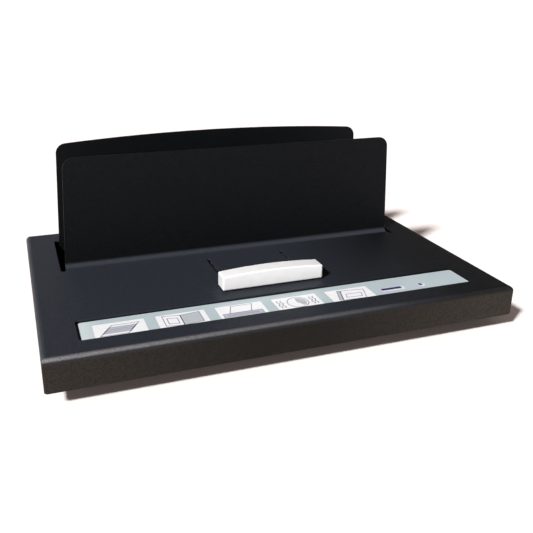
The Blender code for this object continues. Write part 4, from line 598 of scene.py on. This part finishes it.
def printed(name, layer, finish, faces, body="case"):
    """Flat shapes printed on the film, each a loop of (x, y) points."""
    height = FILM_TOP + layer * INK_STEP
    shape = bmesh.new()
    for loop in faces:
        shape.faces.new([shape.verts.new((x, y, height)) for x, y in loop])
    bmesh.ops.recalc_face_normals(shape, faces=shape.faces)
    for face in shape.faces:
        if face.normal.z < 0:
            face.normal_flip()
    mesh = bpy.data.meshes.new(name)
    shape.to_mesh(mesh)
    shape.free()
    return new_piece(name, mesh, body, finish)


def round_box(left, right, front, back, corner, steps=4):
    """A rectangle with round corners."""
    points = []
    for x, y, start in ((right, back, 0), (left, back, 90), (left, front, 180), (right, front, 270)):
        middle_x = x - corner if x == right else x + corner
        middle_y = y - corner if y == back else y + corner
        for step in range(steps + 1):
            angle = math.radians(start + 90 * step / steps)
            points.append((middle_x + corner * math.cos(angle), middle_y + corner * math.sin(angle)))
    return points


def ring(x, y, radius, start=0, end=360, steps=24):
    return [
        (x + radius * math.cos(math.radians(a)), y + radius * math.sin(math.radians(a)))
        for a in (start + (end - start) * step / steps for step in range(steps + 1))
    ]


def stroke(points, width=LINE):
    """A line of ink along points, as one quad for each stretch."""
    quads = []
    for (ax, ay), (bx, by) in zip(points, points[1:]):
        along = Vector((bx - ax, by - ay))
        if along.length == 0:
            continue
        along = along.normalized() * width / 2
        ax, ay, bx, by = ax - along.x, ay - along.y, bx + along.x, by + along.y
        near_side = [(ax + along.y, ay - along.x), (bx + along.y, by - along.x)]
        far_side = [(bx - along.y, by + along.x), (ax - along.y, ay + along.x)]
        quads.append(near_side + far_side)
    return quads


def placed(points, left, front, scale=0.001):
    """Drawing points in millimetres from a panel's corner."""
    return [(left + x * scale, front + y * scale) for x, y in points]


def band(outer, inner):
    """The faces between two loops of as many points."""
    count = len(outer)
    return [[outer[i], outer[(i + 1) % count], inner[(i + 1) % count], inner[i]] for i in range(count)]


film_finish, tree, shader, place = new_finish("label_film", (0.45, 0.54, 0.575), 0.38)
cloud = grains(tree, place, 60, 4)
clouded = shades(tree, cloud, (0.3, (0.435, 0.525, 0.56)), (0.7, (0.475, 0.56, 0.595)))
axes = tree.nodes.new("ShaderNodeSeparateXYZ")
tree.links.new(place, axes.inputs["Vector"])
# Painted light: the film turns paler towards its left end.
painted_light_end = levels(tree, axes.outputs["X"], FILM_LIT_END_FROM, FILM_LIT_END_TO, 0, 1)
tree.links.new(blended(tree, painted_light_end, clouded, (0.60, 0.675, 0.70)), shader.inputs["Base Color"])
relief(tree, shader, grains(tree, place, 4200), 0.00002)
dress(nodes["label_strip"], film_finish)
dress(nodes["label_carrier"], black_plastic)
dress(nodes["indicator_board"], board_lacquer)
for name in ("label_carrier", "indicator_board"):
    ease(nodes[name], 0.0002)

border_ink = ink("border_ink", (0.60, 0.68, 0.69))
panel_ink = ink("panel_ink", (0.86, 0.88, 0.90))
line_ink = ink("line_ink", (0.30, 0.26, 0.40))
shade_ink = ink("shade_ink", (0.47, 0.52, 0.55))
# Painted shadow: a near-black band round the film's edge, widest on the left and at the back, where the
# cut-out's edge shades the film.
recess_shadow_ink = ink("recess_shadow_ink", (0.006, 0.006, 0.007))
outside = round_box(
    -LABEL_HALF - SHADOW_UNDER,
    LABEL_HALF + SHADOW_UNDER,
    LABEL_FRONT - SHADOW_UNDER,
    LABEL_BACK + SHADOW_UNDER,
    LABEL_CORNER,
)
outer = round_box(
    -LABEL_HALF + SHADOW_LEFT,
    LABEL_HALF - SHADOW_RIGHT,
    LABEL_FRONT + SHADOW_FRONT,
    LABEL_BACK - SHADOW_BACK,
    SHADOW_CORNER,
)
inner = round_box(
    -LABEL_HALF + SHADOW_LEFT + BORDER,
    LABEL_HALF - BORDER,
    LABEL_FRONT + BORDER,
    LABEL_BACK - BORDER,
    BORDER_CORNER,
)
printed("label_recess_shadow", 1, recess_shadow_ink, band(outside, outer))
printed("label_border", 1, border_ink, band(outer, inner))
panel_back = PANEL_FRONT + PANEL_DEPTH
panels = [
    round_box(left, left + PANEL_WIDTH, PANEL_FRONT, panel_back, PANEL_CORNER)
    for left in PANEL_LEFTS
]
printed("label_panels", 1, panel_ink, panels)

# In millimetres from a panel's corner: loose pages, a cover laid open, a document in a
# slot, a clock with rising warmth, and a bound booklet. The second of each list is shaded.
pages = [
    [
        (4 + 2 * i, 3 + 3.2 * i),
        (25 + 2 * i, 3 + 3.2 * i),
        (31 + 2 * i, 12 + 3.2 * i),
        (10 + 2 * i, 12 + 3.2 * i),
    ]
    for i in (2, 1, 0)
]
opened = [
    [(5, 4), (19, 2), (19, 19), (5, 21)],
    [(19, 2), (35, 4), (35, 21), (19, 19)],
    [(8, 7), (16, 6), (16, 15), (8, 16)],
]
slotted = [
    [(9, 9), (27, 9), (31, 21), (13, 21)],
    [(3, 3), (36, 3), (36, 9), (3, 9)],
    [(7, 5), (32, 5), (32, 6.6), (7, 6.6)],
]
booklet = [
    [(9, 3), (30, 2), (35, 18), (14, 20)],
    [(9, 3), (14, 20), (11, 20.6), (6, 4)],
    [(14, 7), (28, 6), (30, 12), (16, 13)],
]
lines, fills = [], []
for left, loops in zip(PANEL_LEFTS, (pages, opened, slotted, [], booklet)):
    for number, loop in enumerate(loops):
        closed = placed(loop + loop[:1], left, PANEL_FRONT)
        lines += stroke(closed)
        if number == 1:
            fills.append(closed[:-1])
clock = PANEL_LEFTS[3]
centre_x, centre_y = 19.8, 11.5
hands = [(centre_x, 17.5), (centre_x, centre_y), (24.5, 9.2)]
lines += stroke(placed(ring(centre_x, centre_y, 9), clock, PANEL_FRONT))
lines += stroke(placed(hands, clock, PANEL_FRONT))
wedge = [(centre_x, centre_y)] + ring(centre_x, centre_y, 7.6, 298, 450, 12)
fills.append(placed(wedge, clock, PANEL_FRONT))
for wave in (3.5, 6.5, 32.5, 35.5):
    rising = [(wave + 0.8 * math.sin(step), 5 + step) for step in range(14)]
    lines += stroke(placed(rising, clock, PANEL_FRONT))
printed("label_shades", 2, shade_ink, fills)
printed("label_lines", 3, line_ink, lines)


# ---- Indicators ------------------------------------------------------------------------------
# A dark blue bar window and a small round lamp of clear tinted plastic, each in a printed
# lavender outline with a white one offset under it. Both are unlit.

BAR_X, BAR_Y = 0.0955, -0.0980
BAR_HALF, BAR_RISE = 0.00975, 0.00175
LAMP_X, LAMP_RADIUS = 0.1245, 0.0018
OUTLINE, OUTLINE_GROWS, OUTLINE_SHIFT = 0.0011, 0.0004, 0.0008
BAR_CORNER = 0.0012

lens_finish, tree, shader, place = new_finish("lens_blue", (0.02, 0.03, 0.12), 0.14)
shader.inputs["Coat Weight"].default_value = 0.6
depth_tone = grains(tree, place, 500, 2)
toned(tree, shader, depth_tone, (0.3, (0.014, 0.020, 0.085)), (0.7, (0.035, 0.045, 0.17)))
for name in ("indicator_bar", "status_lamp"):
    dress(nodes[name], lens_finish)
    ease(nodes[name], 0.00012)
outline_ink = ink("outline_ink", (0.84, 0.87, 0.90))
tint_ink = ink("tint_ink", (0.56, 0.53, 0.68))
bar_inner = round_box(
    BAR_X - BAR_HALF, BAR_X + BAR_HALF, BAR_Y - BAR_RISE, BAR_Y + BAR_RISE, BAR_CORNER
)
lamp_inner = ring(LAMP_X, BAR_Y, LAMP_RADIUS)[:-1]
for name, layer, width, shift, tone in (
    ("indicator_outlines", 3, OUTLINE, 0.0, tint_ink),
    ("indicator_shades", 2, OUTLINE + OUTLINE_GROWS, OUTLINE_SHIFT, outline_ink),
):
    x, y, grow = BAR_X + shift, BAR_Y - shift, BAR_HALF + width
    bar_outer = round_box(x - grow, x + grow, y - BAR_RISE - width, y + BAR_RISE + width, BAR_RISE)
    lamp_outer = ring(LAMP_X + shift / 2, y, LAMP_RADIUS + width)[:-1]
    printed(name, layer, tone, band(bar_outer, bar_inner) + band(lamp_outer, lamp_inner))


# ---- Top cover -------------------------------------------------------------------------------
# 1.5 mm sheet steel, bent down into the apron and the side flanges and up into the front
# plate, then powder coated in one piece.

COVER_SHEET = 0.0015
COVER_EDGE = 0.0003
COVER_TOP = FILM_TOP + 0.0018
COVER_BEND = 0.0045
COVER_CORNER = 0.0010
FLANGE_CORNER = 0.0025
OPENING_HALF, OPENING_BACK, OPENING_CORNER = 0.1710, 0.1090, 0.0030
PLATE_ROOT, PLATE_BEND = 0.0307, 0.0038
PLATE_HALF, PLATE_CREST_HALF, PLATE_CORNER = 0.1663, 0.1610, 0.0100
RELIEF, RELIEF_CORNER = 0.0055, 0.0014
PLATE_GAP, PLATE_OVERLAP, PLATE_LIFT = 0.0003, 0.0012, 0.00001
FOLD_STEPS = 12
SLOT_PLACE, SLOT_HALF, SLOT_FRONT, SLOT_BACK = 0.03675, 0.0015, -0.0635, 0.0129
SLOT_CORNER = 0.00149
SCREW_HEAD, SCREW_SHANK, SCREW_SINK = 0.0037, 0.0020, 0.0018
SEAT_GAP, SEAT_REACH = 0.0002, 0.003
MERGE = 0.0000005


def loop_of(corners, steps=6):
    """A closed outline, anticlockwise, from (x, y, radius) corners."""
    points = []
    for number, (x, y, radius) in enumerate(corners):
        here = Vector((x, y))
        if radius == 0:
            points.append(here)
            continue
        before = (Vector(corners[number - 1][:2]) - here).normalized()
        after = (Vector(corners[(number + 1) % len(corners)][:2]) - here).normalized()
        half = before.angle(after) / 2
        centre = here + (before + after).normalized() * radius / math.sin(half)
        first = here + before * radius / math.tan(half) - centre
        last = here + after * radius / math.tan(half) - centre
        turn = first.angle(last)
        for step in range(steps + 1):
            near, far = math.sin(turn * (1 - step / steps)), math.sin(turn * step / steps)
            points.append(centre + (first * near + last * far) / math.sin(turn))
    return points


def grown(loop, amount):
    """The outline moved outward by an amount, or inward where it is negative."""
    moved = []
    for number, here in enumerate(loop):
        before = (here - loop[number - 1]).normalized()
        after = (loop[(number + 1) % len(loop)] - here).normalized()
        out = Vector((before.y + after.y, -before.x - after.x)).normalized()
        moved.append(here + out * amount / out.dot(Vector((before.y, -before.x))))
    return moved


def joined(shape, rings, closed=True):
    """Faces between one ring of corners and the next."""
    for near, far in zip(rings, rings[1:]):
        count = len(near) if closed else len(near) - 1
        for i in range(count):
            j = (i + 1) % len(near)
            shape.faces.new((near[i], near[j], far[j], far[i]))


def cut_edge(shape, loop, low, high, inward):
    """A sheet's cut edge with its burrs rounded off. Returns its rings, from the upper face down."""
    rings = []
    for step in (0, 1, 2, 3):
        angle = math.radians(30 * step)
        back, drop = COVER_EDGE * (1 - math.sin(angle)), COVER_EDGE * (1 - math.cos(angle))
        rings.append((grown(loop, inward * back), drop))
    levels_down = [(ring, high - drop) for ring, drop in rings]
    levels_down += [(ring, low + drop) for ring, drop in reversed(rings)]
    corners = [[shape.verts.new((*point, height)) for point in ring] for ring, height in levels_down]
    joined(shape, corners)
    return corners


def filled(shape, loops):
    """Fills the flat face between closed loops of corners."""
    edges = []
    for loop in loops:
        for i, corner in enumerate(loop):
            pair = (corner, loop[(i + 1) % len(loop)])
            edges.append(shape.edges.get(pair) or shape.edges.new(pair))
    bmesh.ops.triangle_fill(shape, edges=edges, use_beauty=True)


def finished_mesh(name, shape):
    bmesh.ops.remove_doubles(shape, verts=shape.verts, dist=MERGE)
    bmesh.ops.dissolve_degenerate(shape, edges=shape.edges, dist=MERGE)
    bmesh.ops.recalc_face_normals(shape, faces=shape.faces)
    mesh = bpy.data.meshes.new(name)
    shape.to_mesh(mesh)
    shape.free()
    mesh.shade_smooth()
    return mesh


def bend_arc(radius, top, degrees):
    """Across a quarter bend: how far out and how high at each angle."""
    turns = [math.radians(a) for a in degrees]
    return [(radius * math.sin(a), top - radius * (1 - math.cos(a))) for a in turns]


low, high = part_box("top_cover")
side, front, back = high.x - COVER_BEND, low.y + COVER_BEND, high.y
under, foot = COVER_TOP - COVER_SHEET, low.z

# Across the bend and the flange, from the upper face round to the lower.
outside = bend_arc(COVER_BEND, COVER_TOP, range(0, 91, 9))
inner_bend = COVER_BEND - COVER_SHEET
inside = bend_arc(inner_bend, under, range(90, -1, -9))
lip = [
    (COVER_BEND, COVER_EDGE),
    (COVER_BEND - 0.3 * COVER_EDGE, 0.3 * COVER_EDGE),
    (COVER_BEND - COVER_EDGE, 0),
    (inner_bend + COVER_EDGE, 0),
    (inner_bend + 0.3 * COVER_EDGE, 0.3 * COVER_EDGE),
    (inner_bend, COVER_EDGE),
]

# Along the left flange, round the mitred corner, along the apron and back along the right flange:
# the foot of the bend, the way out, and how far the mitre reaches.
mitre_reach = COVER_BEND - COVER_CORNER
left_way = [((-side, y), (-1, 0), 0) for y in (back, 0.075, 0.015, -0.045, -0.105, front)]
left_way += [((-side, front), (-1, 0), reach) for reach in (0.0020, 0.0025, 0.0030, mitre_reach)]
turn = [
    ((-side, front), (-math.cos(a), -math.sin(a)), mitre_reach)
    for a in (math.pi / 8, math.pi / 4, 3 * math.pi / 8)
]
apron_way = [((-side, front), (0, -1), reach) for reach in (mitre_reach, 0.0030, 0.0025, 0.0020)]
apron_way += [((x, front), (0, -1), 0) for x in (-side, -0.130, -0.065, 0)]
way = left_way + turn + apron_way
way += [((-x, y), (-out_x, out_y), reach) for (x, y), (out_x, out_y), reach in reversed(way[:-1])]

shape = bmesh.new()
sections = []
for (x, y), out, reach in way:
    corner = Vector((math.copysign(1, x), -1)) if reach else Vector((0, 0))
    from_corner = COVER_BEND - reach if reach else COVER_BEND
    if reach == mitre_reach:
        from_corner = COVER_CORNER * abs(abs(out[0]) ** 2 - abs(out[1]) ** 2)
    rise = max(0, FLANGE_CORNER - from_corner)
    rise = FLANGE_CORNER - math.sqrt(FLANGE_CORNER**2 - rise**2)
    profile = outside + [(distance, foot + rise + height) for distance, height in lip] + inside
    section = []
    for distance, height in profile:
        place = Vector((x, y)) + corner * min(distance, reach) + Vector(out) * max(0, distance - reach)
        section.append(shape.verts.new((*place, height)))
    sections.append(section)
joined(shape, sections, closed=False)
for section in (sections[0], sections[-1]):
    shape.faces.new(section)

opening = loop_of(
    [
        (-OPENING_HALF, PLATE_ROOT - RELIEF, RELIEF_CORNER),
        (-PLATE_HALF - PLATE_GAP, PLATE_ROOT - RELIEF, RELIEF_CORNER),
        (-PLATE_HALF - PLATE_GAP, PLATE_ROOT, 0),
        (PLATE_HALF + PLATE_GAP, PLATE_ROOT, 0),
        (PLATE_HALF + PLATE_GAP, PLATE_ROOT - RELIEF, RELIEF_CORNER),
        (OPENING_HALF, PLATE_ROOT - RELIEF, RELIEF_CORNER),
        (OPENING_HALF, OPENING_BACK, OPENING_CORNER),
        (-OPENING_HALF, OPENING_BACK, OPENING_CORNER),
    ]
)
recess = round_box(-LABEL_HALF, LABEL_HALF, LABEL_FRONT, LABEL_BACK, LABEL_CORNER, 6)
recess = [Vector(point) for point in recess]
slots = []
for x in (-SLOT_PLACE, SLOT_PLACE):
    slot = round_box(x - SLOT_HALF, x + SLOT_HALF, SLOT_FRONT, SLOT_BACK, SLOT_CORNER, 6)
    slots.append([Vector(point) for point in slot])
edges = [cut_edge(shape, loop, under, COVER_TOP, 1) for loop in (opening, recess, *slots)]
bmesh.ops.remove_doubles(shape, verts=shape.verts, dist=MERGE)
for height, depth in ((COVER_TOP, 0), (under, -1)):
    outer = []
    for section in sections:
        if section[depth].is_valid and section[depth] not in outer:
            outer.append(section[depth])
    filled(shape, [outer, *(ring[depth] for ring in edges)])
mesh = finished_mesh("cover_shell", shape)

# Countersunk seats for the four case screws.
seats = bmesh.new()
screw_places = [
    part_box(f"case_screw_{end}_{hand}") for end in ("front", "back") for hand in ("left", "right")
]
for screw_low, screw_high in screw_places:
    middle = (screw_low + screw_high) / 2
    out = math.copysign(1, middle.x)
    flare = (SCREW_HEAD - SCREW_SHANK) / SCREW_SINK
    face = out * (side + COVER_BEND)
    centre = Matrix.Translation((face, middle.y, middle.z)) @ Matrix.Rotation(out * math.pi / 2, 4, "Y")
    bmesh.ops.create_cone(
        seats,
        cap_ends=True,
        segments=32,
        radius1=SCREW_HEAD + SEAT_GAP - flare * SEAT_REACH,
        radius2=SCREW_HEAD + SEAT_GAP + flare * SEAT_REACH,
        depth=2 * SEAT_REACH,
        matrix=centre,
    )
seat_mesh = bpy.data.meshes.new("seats")
seats.to_mesh(seat_mesh)
seats.free()
cutter = bpy.data.objects.new("seats", seat_mesh)
blank = bpy.data.objects.new("blank", mesh)
for scrap in (cutter, blank):
    bpy.context.scene.collection.objects.link(scrap)
countersink = blank.modifiers.new("countersink", "BOOLEAN")
countersink.object = cutter
countersink.solver = "EXACT"
mesh = settled_mesh(blank)
for scrap in (cutter, blank):
    bpy.data.objects.remove(scrap)

# The front plate is drawn flat, then its foot is bent up out of the top.
bend_length = (PLATE_BEND + COVER_SHEET / 2) * math.pi / 2
upright = high.z - COVER_TOP - PLATE_BEND
outline = loop_of(
    [
        (-PLATE_HALF, -PLATE_OVERLAP, 0),
        (PLATE_HALF, -PLATE_OVERLAP, 0),
        (PLATE_HALF, bend_length, 0),
        (PLATE_CREST_HALF, bend_length + upright, PLATE_CORNER),
        (-PLATE_CREST_HALF, bend_length + upright, PLATE_CORNER),
        (-PLATE_HALF, bend_length, 0),
    ],
    10,
)
shape = bmesh.new()
rings = cut_edge(shape, outline, -COVER_SHEET, 0, -1)
filled(shape, [rings[0]])
filled(shape, [rings[-1]])
for step in range(FOLD_STEPS + 1):
    geometry = shape.verts[:] + shape.edges[:] + shape.faces[:]
    line = (0, bend_length * step / FOLD_STEPS, 0)
    bmesh.ops.bisect_plane(shape, geom=geometry, plane_co=line, plane_no=(0, 1, 0))
for corner in shape.verts:
    x, along, out = corner.co
    bent = math.radians(90) * min(1, max(0, along / bend_length))
    radius = PLATE_BEND - out
    y = PLATE_ROOT + radius * math.sin(bent) + min(0, along)
    z = COVER_TOP + PLATE_BEND - radius * math.cos(bent) + max(0, along - bend_length) + PLATE_LIFT
    corner.co = (x, y, z)
for face in shape.faces:
    face.material_index = 1
plate_mesh = finished_mesh("plate", shape)
shape = bmesh.new()
shape.from_mesh(mesh)
shape.from_mesh(plate_mesh)
mesh = finished_mesh("cover_shell", shape)
for finish in (cover_powder, front_plate_powder):
    mesh.materials.append(finish)
cover = new_piece("cover_shell", mesh, "case", None)
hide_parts("top_cover")
smooth = cover.modifiers.new("smooth", "WEIGHTED_NORMAL")
smooth.weight = 90


# ---- Handle ----------------------------------------------------------------------------------
# A white moulding with a crowned top, pushed over the two arms of the carriage. Its edges
# are well rounded for the hand and its skin is glossy.

HANDLE_HALF = 0.046
HANDLE_CROWN = 0.0022
HANDLE_STEPS = 24
HANDLE_EDGE = 0.0013

low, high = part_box("handle")
outline = [(-HANDLE_HALF, low.z), (HANDLE_HALF, low.z)]
for step in range(HANDLE_STEPS + 1):
    x = HANDLE_HALF * (1 - 2 * step / HANDLE_STEPS)
    outline.append((x, high.z - HANDLE_CROWN * (x / HANDLE_HALF) ** 2))
shape = bmesh.new()
front = shape.faces.new([shape.verts.new((x, low.y, z)) for x, z in outline])
swept = bmesh.ops.extrude_face_region(shape, geom=[front])
moved = [part for part in swept["geom"] if isinstance(part, bmesh.types.BMVert)]
bmesh.ops.translate(shape, verts=moved, vec=(0, high.y - low.y, 0))
bmesh.ops.recalc_face_normals(shape, faces=shape.faces)
mesh = bpy.data.meshes.new("handle_shell")
shape.to_mesh(mesh)
shape.free()
mesh.shade_smooth()

handle_white, tree, shader, place = new_finish("handle_white", (0.87, 0.87, 0.88), 0.22)
shader.inputs["Coat Weight"].default_value = 0.25
skin = grains(tree, place, 130, 3)
toned(tree, shader, skin, (0.3, (0.85, 0.85, 0.86)), (0.7, (0.89, 0.89, 0.90)))
roughened(tree, shader, skin, 0.18, 0.27)
relief(tree, shader, grains(tree, place, 2200), 0.00001)
handle = new_piece("handle_shell", mesh, "clamp", handle_white)
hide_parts("handle")
edge = handle.modifiers.new("edge", "BEVEL")
edge.width = HANDLE_EDGE
edge.segments = 5
edge.angle_limit = math.radians(40)
smooth = handle.modifiers.new("smooth", "WEIGHTED_NORMAL")
smooth.weight = 90


# ---- Floor, light and camera ---------------------------------------------------------------------
# A plain white table in a studio that is white low down and dim above, one key lamp from
# the front left and a camera that stands to the left of the person at the handle.

FLOOR_HALF = 40.0
KEY_STRENGTH = 5.1
KEY_TRAVEL = (1.02, 0.67, -1.0)
KEY_SPREAD = 6.0
WHITE = (1.0, 1.0, 1.0)
LOW_LEFT, HIGH_LEFT = (0.150, 0.160, 0.180), (0.175, 0.140, 0.130)
LOW_RIGHT, HIGH_RIGHT = (0.040, 0.043, 0.048), (0.085, 0.068, 0.062)
TABLE_GLOW, TABLE_GLOW_TONE = 0.045, (1.0, 0.76, 0.68)
WHITE_UP_TO, LOW_AT, HIGH_AT = 0.03, 0.07, 0.55

mesh = bpy.data.meshes.new("table")
corners = [(x * FLOOR_HALF, y * FLOOR_HALF, 0) for x, y in ((-1, -1), (1, -1), (1, 1), (-1, 1))]
mesh.from_pydata(corners, [], [(0, 1, 2, 3)])
table = bpy.data.objects.new("table", mesh)
bpy.context.scene.collection.objects.link(table)
table_white, tree, shader, _ = new_finish("table_white", (0.97, 0.92, 0.90), 0.9)
shader.inputs["Specular IOR Level"].default_value = 0.1
shader.inputs["Emission Color"].default_value = (*TABLE_GLOW_TONE, 1)
rays = tree.nodes.new("ShaderNodeLightPath").outputs
seen = rays["Is Camera Ray"]
for kind in ("Is Glossy Ray", "Is Transmission Ray"):
    either = tree.nodes.new("ShaderNodeMath")
    either.operation = "MAXIMUM"
    tree.links.new(seen, either.inputs[0])
    tree.links.new(rays[kind], either.inputs[1])
    seen = either.outputs["Value"]
tree.links.new(levels(tree, seen, 0, 1, 0, TABLE_GLOW), shader.inputs["Emission Strength"])
mesh.materials.append(table_white)

lamp = bpy.data.lights.new("key", "SUN")
lamp.energy = KEY_STRENGTH
lamp.angle = math.radians(KEY_SPREAD)
lamp.color = (1.0, 0.99, 0.98)
key = bpy.data.objects.new("key", lamp)
key.rotation_mode = "QUATERNION"
key.rotation_quaternion = Vector(KEY_TRAVEL).to_track_quat("-Z", "Y")
bpy.context.scene.collection.objects.link(key)

world = bpy.data.worlds.new("studio")
world.use_nodes = True
tree = world.node_tree
direction = tree.nodes.new("ShaderNodeTexCoord").outputs["Generated"]
axes = tree.nodes.new("ShaderNodeSeparateXYZ")
tree.links.new(direction, axes.inputs["Vector"])
sides = levels(tree, axes.outputs["X"], 0.6, 0.0, 0, 1)
height = axes.outputs["Z"]
left = shades(tree, height, (WHITE_UP_TO, WHITE), (LOW_AT, LOW_LEFT), (HIGH_AT, HIGH_LEFT))
right = shades(tree, height, (WHITE_UP_TO, WHITE), (LOW_AT, LOW_RIGHT), (HIGH_AT, HIGH_RIGHT))
tree.links.new(blended(tree, sides, right, left), tree.nodes["Background"].inputs["Color"])
bpy.context.scene.world = world

CAMERA_PLACE = (-0.1983, -0.5502, 0.2745)
SENSOR_MM, LENS_MM = 36.0, 44.81
SHIFT_X, SHIFT_Y = 0.0375, -0.0497
NEAR_CLIP = 0.01
YAW, PITCH, ROLL = math.radians(19.56), math.radians(20.11), math.radians(-0.46)
ahead = Vector((math.sin(YAW) * math.cos(PITCH), math.cos(YAW) * math.cos(PITCH), -math.sin(PITCH)))
right = Vector((math.cos(YAW), -math.sin(YAW), 0))
down = ahead.cross(right)
rolled_right = right * math.cos(ROLL) + down * math.sin(ROLL)
rolled_down = down * math.cos(ROLL) - right * math.sin(ROLL)
lens = bpy.data.cameras.new("camera")
lens.sensor_width = SENSOR_MM
lens.lens = LENS_MM
lens.shift_x = SHIFT_X
lens.shift_y = SHIFT_Y
lens.clip_start = NEAR_CLIP
camera = bpy.data.objects.new("camera", lens)
turned = Matrix((rolled_right, -rolled_down, -ahead)).transposed().to_4x4()
camera.matrix_world = Matrix.Translation(CAMERA_PLACE) @ turned
bpy.context.scene.collection.objects.link(camera)
bpy.context.scene.camera = camera
bpy.context.scene.view_settings.view_transform = "Standard"
